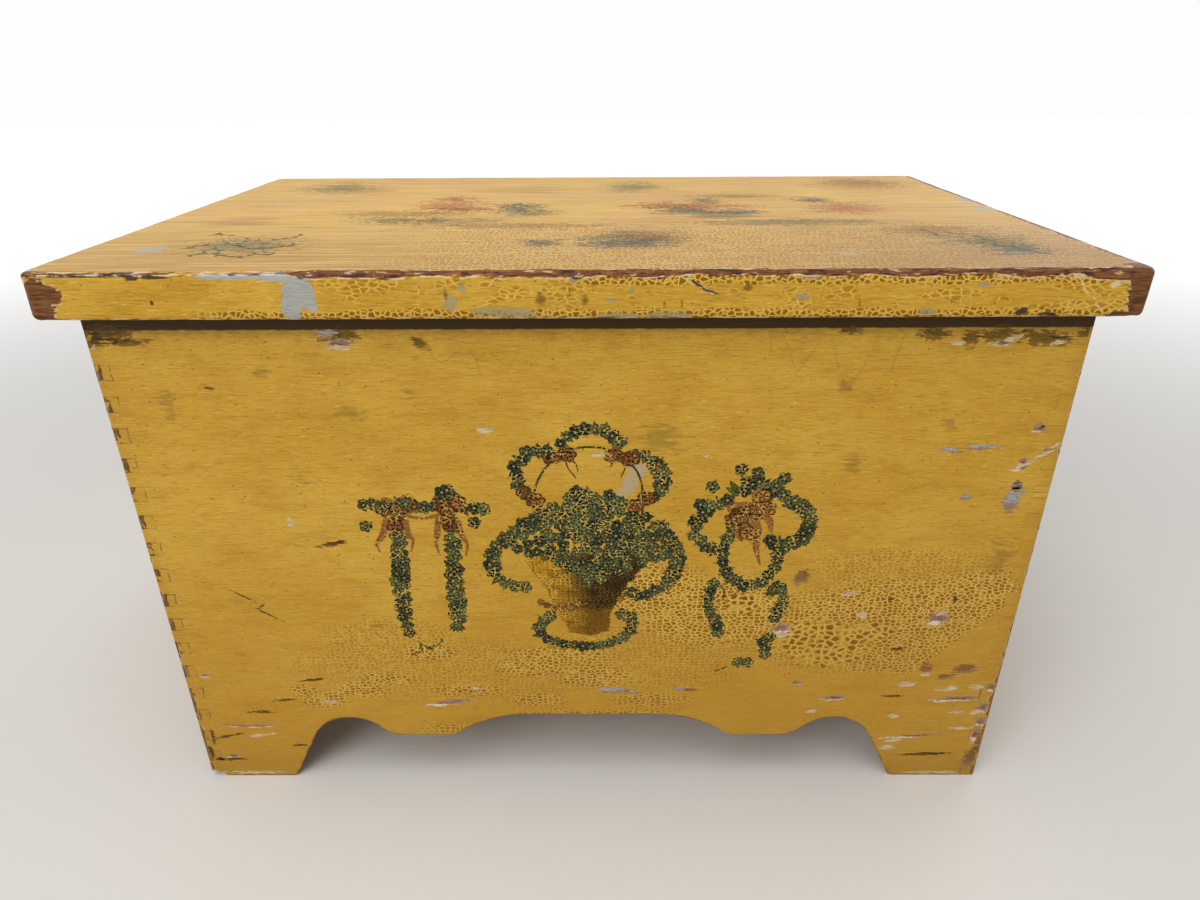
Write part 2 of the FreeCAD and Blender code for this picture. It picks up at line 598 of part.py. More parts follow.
def hinge_leaf(name, x, on_lid):
    """A leaf and its rolled knuckles. The pin's axis is at y = 0, z = 0."""
    body = body_named(name)
    half = "Sizes.hinge_width / 2"
    tip = "Sizes.leaf_height" if on_lid else "-Sizes.leaf_height"
    low, high = ("0", tip) if on_lid else (tip, "0")
    plate = sketch_on(body, "XZ_Plane", f"{name}_plate", AXIS_OFFSET)
    rectangle(plate, f"-{half}", low, half, high)
    pad(body, plate, "Sizes.leaf_thickness", reverse=True)
    tip_height = size(tip)

    def tip_corner(edge):
        box = edge.BoundBox
        return near(box.ZMin, tip_height) and near(box.ZMax, tip_height) and near(
            box.XMin, box.XMax)

    ease(body, "Fillet", "Sizes.leaf_corner_radius", tip_corner)
    barrel = sketch_on(body, "YZ_Plane", f"{name}_barrel")
    circle(barrel, "0", "0", "Sizes.barrel_radius")
    pad(body, barrel, "Sizes.hinge_width", both_ways=True)
    bore = sketch_on(body, "YZ_Plane", f"{name}_bore")
    circle(bore, "0", "0", "(Sizes.pin_radius + Sizes.pin_clearance)")
    cut(body, bore, both_ways=True)
    reach = "(Sizes.barrel_radius + Sizes.knuckle_gap)"
    gaps = sketch_on(body, "XZ_Plane", f"{name}_gaps")
    if on_lid:
        inner, outer = "Sizes.middle_knuckle / 2", f"({half} + Sizes.overrun)"
        rectangle(gaps, f"-{outer}", f"-{reach}", f"-{inner}", reach)
        rectangle(gaps, inner, f"-{reach}", outer, reach)
    else:
        side = "(Sizes.middle_knuckle / 2 + Sizes.knuckle_gap)"
        rectangle(gaps, f"-{side}", f"-{reach}", side, reach)
    cut(body, gaps, both_ways=True)
    face = f"({AXIS_OFFSET} - Sizes.leaf_thickness)"
    screws = sketch_on(body, "XZ_Plane", f"{name}_screws", face)
    drop = "Sizes.leaf_screw_drop" if on_lid else "-Sizes.leaf_screw_drop"
    for side in (-1, 1):
        circle(screws, f"{side} * Sizes.leaf_screw_spacing / 2", drop, HINGE_SCREW_HOLE)
    cut(body, screws, reverse=True)
    seat(body, x, f"{BACK} + {AXIS_OFFSET}", AXIS_HEIGHT)


def hinge_pin(name, x):
    """The pin through the knuckles, a little longer than they are."""
    body = body_named(name)
    section = sketch_on(body, "YZ_Plane", f"{name}_section")
    circle(section, "0", "0", "Sizes.pin_radius")
    pad(body, section, "Sizes.hinge_width + 2 * Sizes.knuckle_gap", both_ways=True)
    seat(body, x, f"{BACK} + {AXIS_OFFSET}", AXIS_HEIGHT)


def make_hinges():
    """A pair of butt hinges on the back, their pins level with the lid's seat."""
    for side, x in (("left", f"-{HINGE_X}"), ("right", HINGE_X)):
        hinge_leaf(f"{side}_hinge_box_leaf", x, False)
        hinge_leaf(f"{side}_hinge_lid_leaf", x, True)
        hinge_pin(f"{side}_hinge_pin", x)


# Screws and nails


def round_screw(name, length):
    """A round-headed hinge screw, pointing down. Its head sits on z = 0."""
    body = body_named(name)
    top = sketch_on(body, "XY_Plane", f"{name}_head")
    circle(top, "0", "0", "Sizes.hinge_screw_head")
    pad(body, top, "Sizes.hinge_screw_rise")
    shank = body.newObject("PartDesign::AdditivePrism", f"{name}_shank")
    shank.Polygon = SHANK_SIDES
    shank.setExpression("Circumradius", "Sizes.hinge_screw_radius")
    shank.setExpression("Height", length)
    shank.setExpression("Placement.Base.z", f"-{length}")
    body.Tip = shank
    doc.recompute()
    return body


def cut_nail(name, length):
    """A square cut nail, pointing down. Its head sits on z = 0."""
    body = body_named(name)
    head = sketch_on(body, "XY_Plane", f"{name}_head")
    square(head, "0", "0", "Sizes.nail_head_width / 2")
    pad(body, head, "Sizes.nail_head_rise")
    section = sketch_on(body, "XY_Plane", f"{name}_shank")
    square(section, "0", "0", "Sizes.nail_thickness / 2")
    pad(body, section, length, reverse=True)
    return body


def group(name, pattern, seats):
    """One node of like fasteners. Each seat is a point on a face and the way the point looks."""
    solids = []
    for position, direction in seats:
        solid = pattern.Shape.copy()
        point = Vector(*(size(value) for value in position))
        solid.Placement = Placement(point, Rotation(Vector(0, 0, -1), direction))
        solids.append(solid)
    node = doc.addObject("Part::Feature", name)
    node.Label = name
    node.Shape = Part.makeCompound(solids)


def make_cleat_nails():
    """The nails that hold the cleats to the four walls."""
    height = f"{CLEAT_BOTTOM} + Sizes.cleat_height / 2"
    seats = []
    for share in WALL_CLEAT_SHARES:
        x = f"{share} * {WALL_CLEAT_LENGTH}"
        seats.append(((x, f"{FRONT_CLEAT_Y} + Sizes.cleat_width", height), Vector(0, -1, 0)))
        seats.append(((x, f"{REAR_CLEAT_Y} - Sizes.cleat_width", height), Vector(0, 1, 0)))
    inside = f"({INNER_WIDTH} / 2 - Sizes.cleat_width)"
    for share in END_CLEAT_SHARES:
        y = f"{MIDDLE} + {share} * {END_CLEAT_LENGTH}"
        seats.append(((f"-{inside}", y, height), Vector(-1, 0, 0)))
        seats.append(((inside, y, height), Vector(1, 0, 0)))
    group("cleat_nails", cut_nail("cleat_nail", "Sizes.cleat_nail_length"), seats)


def make_floor_nails():
    """The nails that hold the floor planks to the cleats."""
    top = f"{FLOOR_BOTTOM} + Sizes.floor_thickness"
    down = Vector(0, 0, -1)
    seats = []
    for share in WALL_FLOOR_SHARES:
        x = f"{share} * {WALL_CLEAT_LENGTH}"
        seats.append(((x, f"{FRONT_CLEAT_Y} + Sizes.cleat_width / 2", top), down))
        seats.append(((x, f"{REAR_CLEAT_Y} - Sizes.cleat_width / 2", top), down))
    for share in END_FLOOR_SHARES:
        y = f"{MIDDLE} + {share} * {END_CLEAT_LENGTH}"
        seats.append(((f"-{END_NAIL_X}", y, top), down))
        seats.append(((END_NAIL_X, y, top), down))
    group("floor_nails", cut_nail("floor_nail", "Sizes.floor_nail_length"), seats)


def make_batten_nails():
    """The nails that hold the battens to the lid planks, from below."""
    level = f"{LID_BOTTOM} - Sizes.batten_thickness"
    seats = []
    for side in ("-1", "1"):
        for ys in batten_nail_ys():
            for y in ys:
                seats.append(((f"{side} * {BATTEN_X}", f"{BACK} + {y}", level), Vector(0, 0, 1)))
    group("batten_nails", cut_nail("batten_nail", "Sizes.batten_nail_length"), seats)


def make_hinge_screws(name, length, height):
    """The four screws of the two leaves on one side of the pins."""
    screw = round_screw(f"{name}_pattern", length)
    seats = []
    for middle in (f"-{HINGE_X}", HINGE_X):
        for side in (-1, 1):
            x = f"{middle} + {side} * Sizes.leaf_screw_spacing / 2"
            seats.append(((x, f"{BACK} + Sizes.leaf_thickness", height), Vector(0, -1, 0)))
    group(name, screw, seats)


def make_fasteners():
    """All screws and nails."""
    make_cleat_nails()
    make_floor_nails()
    make_batten_nails()
    make_hinge_screws("hinge_box_screws", "Sizes.back_screw_length",
                      f"{AXIS_HEIGHT} - Sizes.leaf_screw_drop")
    make_hinge_screws("hinge_lid_screws", "Sizes.lid_screw_length",
                      f"{AXIS_HEIGHT} + Sizes.leaf_screw_drop")


# Checking and writing


NODES = [
    "front_board", "back_board", "left_end_board", "right_end_board",
    "front_floor_cleat", "rear_floor_cleat", "left_floor_cleat", "right_floor_cleat",
    "floor_front_plank", "floor_rear_plank", "cleat_nails", "floor_nails",
    "lid_front_plank", "lid_rear_plank", "left_lid_batten", "right_lid_batten",
    "batten_nails", "left_hinge_box_leaf", "left_hinge_lid_leaf", "left_hinge_pin",
    "right_hinge_box_leaf", "right_hinge_lid_leaf", "right_hinge_pin",
    "hinge_box_screws", "hinge_lid_screws",
]


def check_document():
    """Stop if any object failed, or any sub-part has no sound solid."""
    for item in doc.Objects:
        if "Invalid" in item.State or "Error" in item.State:
            raise ValueError(f"{item.Label} failed: {item.State}")
        if item.TypeId == "Sketcher::SketchObject" and not item.FullyConstrained:
            raise ValueError(f"{item.Label} can still move")
    for name in NODES:
        shape = doc.getObject(name).Shape
        if shape.isNull() or not shape.isValid() or not shape.Solids:
            raise ValueError(f"{name} has no sound solid")


def write_parts():
    """Write each sub-part to its own file."""
    os.makedirs("parts", exist_ok=True)
    for name in NODES:
        doc.getObject(name).Shape.exportStep(f"parts/{name}.step")


make_box()
make_floor()
make_lid()
make_hinges()
make_fasteners()
doc.recompute()
check_document()
write_parts()
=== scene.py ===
import math
import random

import bmesh
import bpy
from mathutils import Matrix, Vector, noise


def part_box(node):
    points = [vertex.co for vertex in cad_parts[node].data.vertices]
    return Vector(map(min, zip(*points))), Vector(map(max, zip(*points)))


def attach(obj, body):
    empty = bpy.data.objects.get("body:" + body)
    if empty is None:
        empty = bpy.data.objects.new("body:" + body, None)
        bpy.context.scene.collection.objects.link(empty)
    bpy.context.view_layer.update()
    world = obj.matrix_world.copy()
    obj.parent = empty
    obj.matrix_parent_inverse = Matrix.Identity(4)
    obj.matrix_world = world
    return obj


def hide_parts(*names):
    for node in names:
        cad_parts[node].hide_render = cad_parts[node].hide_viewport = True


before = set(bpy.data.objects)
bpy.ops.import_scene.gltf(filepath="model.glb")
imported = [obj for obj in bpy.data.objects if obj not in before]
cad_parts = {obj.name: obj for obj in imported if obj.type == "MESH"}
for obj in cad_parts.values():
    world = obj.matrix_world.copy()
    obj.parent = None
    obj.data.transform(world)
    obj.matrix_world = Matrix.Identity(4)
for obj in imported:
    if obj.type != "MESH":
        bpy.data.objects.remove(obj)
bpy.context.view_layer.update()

MM = 0.001

# The chest's sizes, from the frame

front_low, front_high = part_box("front_board")
back_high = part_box("back_board")[1]
plank_low, plank_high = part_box("lid_front_plank")
rear_plank_low, rear_plank_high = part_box("lid_rear_plank")
HALF_WIDTH = front_high.x
FRONT_FACE = front_low.y
BACK_FACE = back_high.y
BOARD = front_high.y - front_low.y
BOX_TOP = front_high.z
HALF_DEPTH = (BACK_FACE - FRONT_FACE) / 2
MIDDLE = (FRONT_FACE + BACK_FACE) / 2
APRON_TOP = BOX_TOP / 4
LID_HALF_WIDTH = plank_high.x
LID_FRONT = plank_low.y
LID_BACK = rear_plank_high.y
LID_JOINT = plank_high.y
LID_BOTTOM = plank_low.z
LID_TOP = plank_high.z
FINGER = 9.525 * MM
LID_CORNER = 5 * MM
LID_ROUND = 3 * MM
TOUCH = 0.02 * MM
WELD = TOUCH / 20

# Sizes of the wear on the edges

ARRIS_BAND = 1.4 * MM
ARRIS_ROUND = 0.5 * MM
CORNER_ROUND = 0.9 * MM
JOINT_ROUND = 0.15 * MM
SEAM_ROUND = 0.4 * MM
CLEAT_ROUND = 0.6 * MM
BATTEN_ROUND = 0.5 * MM
BROAD_FACE = (40 * MM) ** 2
ZONE_STEP = 4 * MM
EDGE_STEP = 1.5 * MM
PLANK_STEP = 6 * MM
DEPTH_STEP = 5 * MM
RUB_DEPTH = 0.35 * MM
RUB_BAND = 5 * MM
RUB_LUMP = 14 * MM
RUB_GRIT = 4 * MM
CHIP_LUMP = 3 * MM
BREAK_ROUGHNESS = 0.6 * MM

# Sizes of the ornament, and its heights on the face that carries it

PETAL = 1.7 * MM
PETAL_REACH = 2.1 * MM
PETAL_THICK = 0.10 * MM
HEART = 0.8 * MM
LEAF_LENGTH = 5.4 * MM
LEAF_WIDTH = 3.0 * MM
FLOWER_STEP = 5.4 * MM
HEAP_STEP = 4.9 * MM
HEAP_TRIES = 6000
OUTLINE_GROWTH = 1.14
CREASE_GROWTH = 1.17
WIDE_GARLAND = 4.2 * MM
BASKET_RIM = 4 * MM
SUNK = 0.03 * MM
BASKET_HEIGHT = 0.035 * MM
FOLIAGE_HEIGHT = 0.04 * MM
RIBBON_THICK = 0.08 * MM
RIBBON_HEIGHT = 0.09 * MM
RIBBON_STEP = 0.01 * MM
FLOWER_HEIGHT = 0.13 * MM
HEART_HEIGHT = 0.24 * MM
STAIN_STEP = 0.006 * MM
RUN_HEIGHT = 0.0
RUN_WIDTHS = (0.25 * MM, 0.3 * MM, 0.45 * MM)
FLAKE_SHARES = (0.5, 0.85, 1.25)

# Sizes of the screws, and the light

HEAD_RISE = 1.6 * MM
SLOT_DEPTH = 0.7 * MM
SLOT_WIDTH = 0.7 * MM
AMBIENT = 0.38

# A size, in millimetres, over which a noise does not change

FLAT = 1000


# The camera stands where the photographer stood

class Viewpoint:
    """The photograph's camera. It turns a pixel into the place on a flat face that the pixel shows."""

    place = Vector((9 * MM, FRONT_FACE - 415.9 * MM, 457.5 * MM))
    pitch = math.radians(25.74)
    yaw = math.radians(-0.314)
    roll = math.radians(0.304)
    focal_pixels = 805.06
    width_pixels = 1200
    centre_u = 600
    centre_v = 450
    sensor = 36

    def __init__(self):
        level = math.cos(self.pitch)
        self.ahead = Vector((math.sin(self.yaw) * level, math.cos(self.yaw) * level, -math.sin(self.pitch)))
        flat_right = Vector((math.cos(self.yaw), -math.sin(self.yaw), 0))
        flat_down = self.ahead.cross(flat_right)
        self.right = math.cos(self.roll) * flat_right + math.sin(self.roll) * flat_down
        self.down = math.cos(self.roll) * flat_down - math.sin(self.roll) * flat_right

    def onto(self, axis, level, u, v):
        """Where pixel (u, v) falls on the plane whose coordinate along the axis is the level."""
        aside = (u - self.centre_u) / self.focal_pixels
        below = (v - self.centre_v) / self.focal_pixels
        ray = self.ahead + aside * self.right + below * self.down
        return self.place + ray * ((level - self.place[axis]) / ray[axis])

    def camera(self):
        data = bpy.data.cameras.new("camera")
        data.sensor_width = self.sensor
        data.lens = self.focal_pixels / self.width_pixels * self.sensor
        data.clip_start = 10 * MM
        camera = bpy.data.objects.new("camera", data)
        turned = Matrix((self.right, -self.down, -self.ahead)).transposed()
        camera.matrix_world = Matrix.Translation(self.place) @ turned.to_4x4()
        bpy.context.scene.collection.objects.link(camera)
        bpy.context.scene.camera = camera


view = Viewpoint()


class Face:
    """A flat painted face of the box or the lid. Its own axes are across and up."""

    def __init__(self, axis, level, across, up, outward):
        self.axis = axis
        self.level = level
        self.across = across
        self.up = up
        self.outward = outward

    def at(self, u, v):
        """A pixel's place on this face, as (across, up)."""
        place = view.onto(self.axis, self.level, u, v)
        return Vector((place[self.across], place[self.up]))

    def size(self, u, v, wide, tall):
        """What wide and tall pixels near (u, v) measure on this face."""
        across = (self.at(u + wide, v) - self.at(u, v)).length
        up = (self.at(u, v + tall) - self.at(u, v)).length
        return across, up

    def lift(self, point, height=0.0):
        """A point of this face, raised by height, in the frame."""
        place = Vector((0, 0, 0))
        place[self.across] = point[0]
        place[self.up] = point[1]
        place[self.axis] = self.level + self.outward * height
        return place


BOX_FRONT = Face(1, FRONT_FACE, 0, 2, -1)
LID_EDGE = Face(1, LID_FRONT, 0, 2, -1)
LID_FACE = Face(2, LID_TOP, 0, 1, 1)
BAND_FOOT = BOX_FRONT.at(600, 329).y


# Finishes

def colour(code):
    """The linear colour of a code with two hex digits for each of red, green and blue."""
    channels = [int(code[start:start + 2], 16) / 255 for start in (1, 3, 5)]
    linear = [c / 12.92 if c <= 0.04045 else ((c + 0.055) / 1.055) ** 2.4 for c in channels]
    return (*linear, 1.0)


OCHRE = colour("#C0932C")
OCHRE_LIGHT = colour("#CBA03A")
OCHRE_DEEP = colour("#AC7C1E")
OCHRE_SHADOW = colour("#7C5C1A")
RIDGE = colour("#DFBA58")
CELL = colour("#A87200")
CELL_DEEP = colour("#6A3C00")
LID_OCHRE = colour("#D3AA55")
LID_TAN = colour("#CBA05C")
LID_SHADE = colour("#B48C49")
LID_RIDGE = colour("#E0BF80")
OLD_RED = colour("#6B3F24")
OLD_ORANGE = colour("#935F2E")
PLUM = colour("#2E1D26")
MAUVE = colour("#8F7168")
UNDERCOAT = colour("#A3A29A")
CREAM = colour("#D6C29E")
# Dark dirt and grease; both also paint the shadow under the lid's overhang.
DIRT_AND_SHADE = colour("#2E1D07")
GREASE_AND_SHADE = colour("#66501F")


class Shade:
    """An output of a node. Arithmetic on it adds Math nodes."""

    def __init__(self, nodes, socket):
        self.nodes = nodes
        self.socket = socket

    def math(self, operation, *values):
        return self.nodes.node("ShaderNodeMath", {"operation": operation}, values)

    def __add__(self, other):
        return self.math("ADD", self, other)

    def __sub__(self, other):
        return self.math("SUBTRACT", self, other)

    def __rsub__(self, other):
        return self.math("SUBTRACT", other, self)

    def __mul__(self, other):
        return self.math("MULTIPLY", self, other)

    def __truediv__(self, other):
        return self.math("DIVIDE", self, other)

    def __abs__(self):
        return self.math("ABSOLUTE", self)

    __radd__ = __add__
    __rmul__ = __mul__

    def least(self, other):
        return self.math("MINIMUM", self, other)

    def most(self, other):
        return self.math("MAXIMUM", self, other)

    def fraction(self):
        return self.math("FRACT", self)

    def rise(self, low, high):
        """0 below low and 1 above high, or the other way round where low is the greater."""
        settings = {"interpolation_type": "SMOOTHSTEP"}
        return self.nodes.node("ShaderNodeMapRange", settings, (self, low, high, 0.0, 1.0))


class Nodes:
    """The nodes of a material or of the world."""

    def __init__(self, owner):
        owner.use_nodes = True
        self.tree = owner.node_tree

    def node(self, kind, settings, sockets, output=0):
        """A new node with its settings made and its sockets filled; returns one of its outputs."""
        node = self.tree.nodes.new(kind)
        for setting, value in settings.items():
            setattr(node, setting, value)
        filled = sockets.items() if isinstance(sockets, dict) else enumerate(sockets)
        for socket, value in filled:
            self.fill(node.inputs[socket], value)
        return Shade(self, node.outputs[output])

    def fill(self, socket, value):
        if isinstance(value, Shade):
            self.tree.links.new(value.socket, socket)
        else:
            socket.default_value = value


class Finish(Nodes):
    """A material that is built up in layers, each with its colour, roughness and height."""

    def __init__(self, name, base, roughness=0.5, metallic=0.0, specular=0.5):
        self.material = bpy.data.materials.new(name)
        super().__init__(self.material)
        self.surface = self.tree.nodes["Principled BSDF"]
        self.surface.inputs["Metallic"].default_value = metallic
        self.surface.inputs["Specular IOR Level"].default_value = specular
        self.place = self.node("ShaderNodeTexCoord", {}, (), "Object")
        self.axes = [self.node("ShaderNodeSeparateXYZ", {}, (self.place,), axis) for axis in range(3)]
        self.x, self.y, self.z = self.axes
        self.colour = base
        self.roughness = roughness
        self.height = 0.0
        self.cover = None

    def flat(self, face):
        """The place on a face, as a vector of across and up."""
        return self.node("ShaderNodeCombineXYZ", {}, (self.axes[face.across], self.axes[face.up], 0.0))

    def stretched(self, sizes, place=None):
        """The place counted in steps along X, Y and Z; sizes are in millimetres, here and below."""
        sockets = {"Vector": place or self.place, "Scale": [size * MM for size in sizes]}
        return self.node("ShaderNodeMapping", {"vector_type": "TEXTURE"}, sockets)

    def noise(self, sizes, detail=3.0, rough=0.55):
        """Smooth noise about 0.5, its lumps of the given sizes."""
        sockets = {"Vector": self.stretched(sizes), "Scale": 1.0, "Detail": detail, "Roughness": rough}
        return self.node("ShaderNodeTexNoise", {}, sockets)

    def shaken(self, place, sizes, reach):
        """The place moved about by noise of the given sizes, by up to half the reach each way."""
        sockets = {"Vector": self.stretched(sizes, place), "Scale": 1.0, "Detail": 2.0}
        shake = self.node("ShaderNodeTexNoise", {}, sockets, "Color")
        steps = (shake, (reach * MM,) * 3, (-reach * MM / 2,) * 3)
        moved = self.node("ShaderNodeVectorMath", {"operation": "MULTIPLY_ADD"}, steps)
        return self.node("ShaderNodeVectorMath", {"operation": "ADD"}, (place, moved))

    def cells(self, place, sizes, jumble=0.8):
        """How far a place on a face lies from the border of its cell, in cells of the given sizes."""
        settings = {"feature": "DISTANCE_TO_EDGE", "voronoi_dimensions": "2D"}
        sockets = {"Vector": self.stretched(sizes, place), "Scale": 1.0, "Randomness": jumble}
        return self.node("ShaderNodeTexVoronoi", settings, sockets, "Distance")

    def dots(self, spacing):
        """How far a place lies from the nearest of scattered points, counted in their spacing."""
        sockets = {"Vector": self.stretched((spacing,) * 3), "Scale": 1.0}
        return self.node("ShaderNodeTexVoronoi", {}, sockets, "Distance")

    def mixed(self, share, first, second):
        """The first colour where the share is 0 and the second where it is 1."""
        return self.node("ShaderNodeMix", {"data_type": "RGBA"}, {0: share, 6: first, 7: second}, 2)

    def stored(self, name):
        """A value stored on the mesh's corners."""
        return self.node("ShaderNodeAttribute", {"attribute_name": name}, (), "Fac")

    def marked(self, name, shake, clear, full):
        """0 off the marks stored under a name and 1 on them, their borders moved by the shake."""
        return (self.stored(name) + shake).rise(clear, full)

    def lay(self, share, shade=None, roughness=None, lift=0.0):
        """Lay a layer over the finish where the share is 1, raised by the lift in millimetres."""
        if shade is not None:
            self.colour = self.mixed(share, self.colour, shade)
        if roughness is not None:
            sockets = {0: share, 2: self.roughness, 3: roughness}
            self.roughness = self.node("ShaderNodeMix", {}, sockets)
        if lift:
            self.height = self.height + share * lift

    def done(self):
        """Join the layers to the surface."""
        self.fill(self.surface.inputs["Base Color"], self.colour)
        self.fill(self.surface.inputs["Roughness"], self.roughness)
        if self.cover is not None:
            self.fill(self.surface.inputs["Alpha"], self.cover)
        if isinstance(self.height, Shade):
            sockets = {"Strength": 1.0, "Distance": MM, "Height": self.height}
            self.fill(self.surface.inputs["Normal"], self.node("ShaderNodeBump", {}, sockets))
        return self.material


def along(axis, size, others):
    """Sizes for a noise that is drawn out along an axis."""
    sizes = [others] * 3
    sizes[axis] = size
    return sizes


def edge_distance(finish, low, high):
    """How far a place on a block's surface lies from the block's nearest edge, in metres."""
    first, second, third = (
        (high[axis] - low[axis]) / 2 - abs(finish.axes[axis] - (low[axis] + high[axis]) / 2)
        for axis in range(3)
    )
    return first.least(second).most(first.most(second).least(third))


# Marks on the front, as pixels of the photograph: middle, half width, half height and, where there
# is one, turn in degrees

CRACKLE_STOP = [(1002, 608), (930, 660)]
GREY_CHIPS = [
    (1013, 498, 9, 15, -12), (982, 447, 18, 3, 4), (950, 450, 12, 2.6, -4), (965, 497, 6, 4, 20),
    (1017, 486, 5, 5), (612, 690, 16, 3), (632, 692, 8, 2), (680, 689, 6, 2), (327, 334, 12, 5),
]
MAUVE_CHIPS = [
    (937, 619, 12, 7, 12), (781, 629, 10, 6, 10), (1039, 429, 7, 6, 30), (1023, 462, 6, 4, 20),
    (1020, 468, 9, 3, 20), (955, 699, 26, 2.6, 3), (447, 703, 24, 2.6, 10), (340, 344, 14, 5),
    (833, 698, 12, 2.6, 4), (797, 683, 6, 2.4), (982, 708, 6, 6), (992, 688, 6, 5, 60), (980, 722, 6, 5),
    (1046, 451, 4, 3), (205, 676, 5, 2.4), (910, 736, 30, 1.6, 6), (975, 735, 5, 8), (233, 756, 8, 2, 6),
    (250, 726, 24, 1.4),
]
BROWN_CHIPS = [
    (926, 669, 7, 6), (964, 669, 13, 5, 8), (945, 676, 9, 3.4, 12), (970, 757, 7, 12, -14),
    (979, 740, 4, 9, -10), (802, 577, 7, 9, -35), (690, 690, 8, 2),
]
CREAM_CHIPS = [
    (943, 613, 7, 2.4, 8), (926, 674, 6, 2), (907, 684, 11, 2.6, 3), (947, 689, 11, 2.4, 6),
    (975, 687, 8, 2.4, -3), (850, 594, 8, 2.2), (783, 635, 8, 2, 8), (862, 615, 5, 4),
    (812, 711, 8, 1.8, 3), (957, 712, 8, 1.6, 2), (975, 712, 6, 2, 4), (330, 702, 10, 1.6, 2),
    (262, 735, 14, 1.4, 6), (480, 688, 8, 1.6), (290, 523, 3.4, 5), (485, 430, 9, 4), (337, 348, 16, 2.4),
    (958, 343, 8, 2.4, 4), (1000, 344, 12, 3), (1012, 339, 12, 3, 20), (1058, 342, 10, 3, 12),
    (95, 346, 5, 2.4, 20), (600, 455, 9, 3), (1044, 454, 20, 1.8, 30), (1026, 464, 14, 1.8, 26),
    (705, 455, 4, 2), (892, 740, 10, 2, 3), (886, 747, 8, 2.6), (1056, 446, 8, 2, 32),
    (960, 728, 12, 1.4, 4), (931, 772, 33, 1.4), (256, 772, 33, 1.4), (893, 716, 7, 2, 3),
]
DARK_NICKS = [
    (332, 544, 17, 2.6, 12), (243, 596, 16, 1.0, -33), (268, 614, 17, 1.0, -33), (262, 606, 6, 1.0, 38),
    (208, 388, 6, 1.6, -15), (655, 536, 5, 2), (232, 759, 16, 1.4, 2), (229, 736, 14, 1.4, 14),
    (96, 340, 6, 9), (262, 712, 13, 1.4), (897, 649, 7, 1.6, 4), (922, 754, 26, 1.6, 3), (890, 599, 3, 2),
    (213, 737, 2.4, 7), (955, 600, 2, 5), (893, 696, 10, 1.4), (1042, 427, 3, 2, 30),
    (1062, 338, 12, 2, -8), (212, 752, 2.4, 7), (300, 745, 10, 1.2), (312, 680, 14, 1.4, 8),
    (285, 700, 12, 1.6, 6), (222, 759, 6, 1.6),
]
GRIME_PATCHES = [
    (108, 334, 26, 9, 3), (124, 342, 26, 5), (340, 336, 22, 8), (935, 334, 18, 7), (972, 338, 10, 10),
    (1000, 335, 22, 9), (1045, 338, 30, 9, -6), (420, 343, 12, 5, -30), (1085, 333, 8, 5),
    (850, 330, 14, 4),
]
RUNS = [
    [(783, 334), (790, 352), (795, 372)], [(822, 338), (810, 356), (797, 372)],
    [(832, 336), (836, 358), (846, 390)], [(880, 336), (866, 362), (848, 390)],
    [(425, 345), (440, 362), (460, 350)], [(470, 348), (478, 366), (480, 375)],
    [(520, 345), (508, 366), (490, 352)], [(545, 333), (546, 348), (545, 358)],
    [(770, 334), (771, 346), (770, 355)], [(640, 332), (642, 346), (641, 352)],
    [(590, 332), (588, 342), (589, 350)], [(905, 335), (898, 352), (890, 372)],
]
FRONT_ZONES = {
    "coarse_crackle": [
        (824, 644, 50, 24, -10), (872, 632, 26, 9), (742, 604, 18, 12),
    ],
    "middle_crackle": [
        (880, 625, 130, 44, 6), (900, 660, 90, 14), (720, 615, 90, 36), (655, 592, 60, 28),
        (980, 600, 50, 30),
        (326, 700, 26, 7, 4), (362, 690, 30, 9), (304, 690, 14, 6), (388, 678, 34, 6, -4), (430, 652, 30, 9),
        (470, 690, 40, 7), (530, 668, 40, 9), (594, 676, 44, 12), (455, 728, 36, 5), (600, 714, 90, 4),
        (540, 700, 30, 7), (650, 700, 44, 7), (560, 655, 60, 8),
    ],
    "fine_crackle": [
        (640, 660, 140, 40), (450, 670, 180, 40, -3), (905, 568, 120, 24), (390, 640, 90, 26),
    ],
    "smudges": [
        (348, 413, 19, 9), (165, 398, 12, 8), (170, 412, 7, 12), (660, 440, 30, 18), (845, 385, 10, 12),
        (380, 625, 9, 5), (852, 462, 14, 16, -30), (1000, 560, 16, 20), (410, 395, 16, 6), (260, 372, 10, 8),
        (590, 362, 10, 3), (300, 480, 16, 5), (700, 362, 12, 4), (480, 430, 14, 5), (950, 425, 14, 6, -40),
    ],
    "rubbed": [
        (638, 470, 11, 9), (630, 484, 9, 12, -15), (621, 496, 6, 11, -20), (613, 507, 3, 7, -25),
    ],
}


def brushed_ochre(finish, sizes):
    """Ochre paint laid with a broad brush: fine raised threads, thin dark lines, pits and a cloudy tone."""
    clouds = finish.noise((90, 90, 60))
    tone = finish.noise((34, 34, 12), 4.0)
    finish.colour = finish.mixed(clouds.rise(0.35, 0.68), OCHRE, OCHRE_LIGHT)
    finish.lay(tone.rise(0.45, 0.75) * 0.6, OCHRE_DEEP)
    strokes = finish.noise(sizes, 4.0, 0.7)
    finish.lay(strokes.rise(0.5, 0.62) * 0.35, OCHRE_LIGHT, lift=0.05)
    finish.lay(strokes.rise(0.48, 0.36) * 0.5, OCHRE_DEEP, lift=-0.05)
    threads = finish.noise([size * share for size, share in zip(sizes, (0.5, 0.7, 0.7))], 3.0, 0.6)
    finish.lay(threads.rise(0.57, 0.63) * 0.65, RIDGE, lift=0.14)
    finish.lay(threads.rise(0.42, 0.35) * 0.45, OCHRE_SHADOW, lift=-0.12)
    finish.lay(finish.dots(7).rise(0.1, 0.06) * 0.8, OCHRE_SHADOW, lift=-0.1)


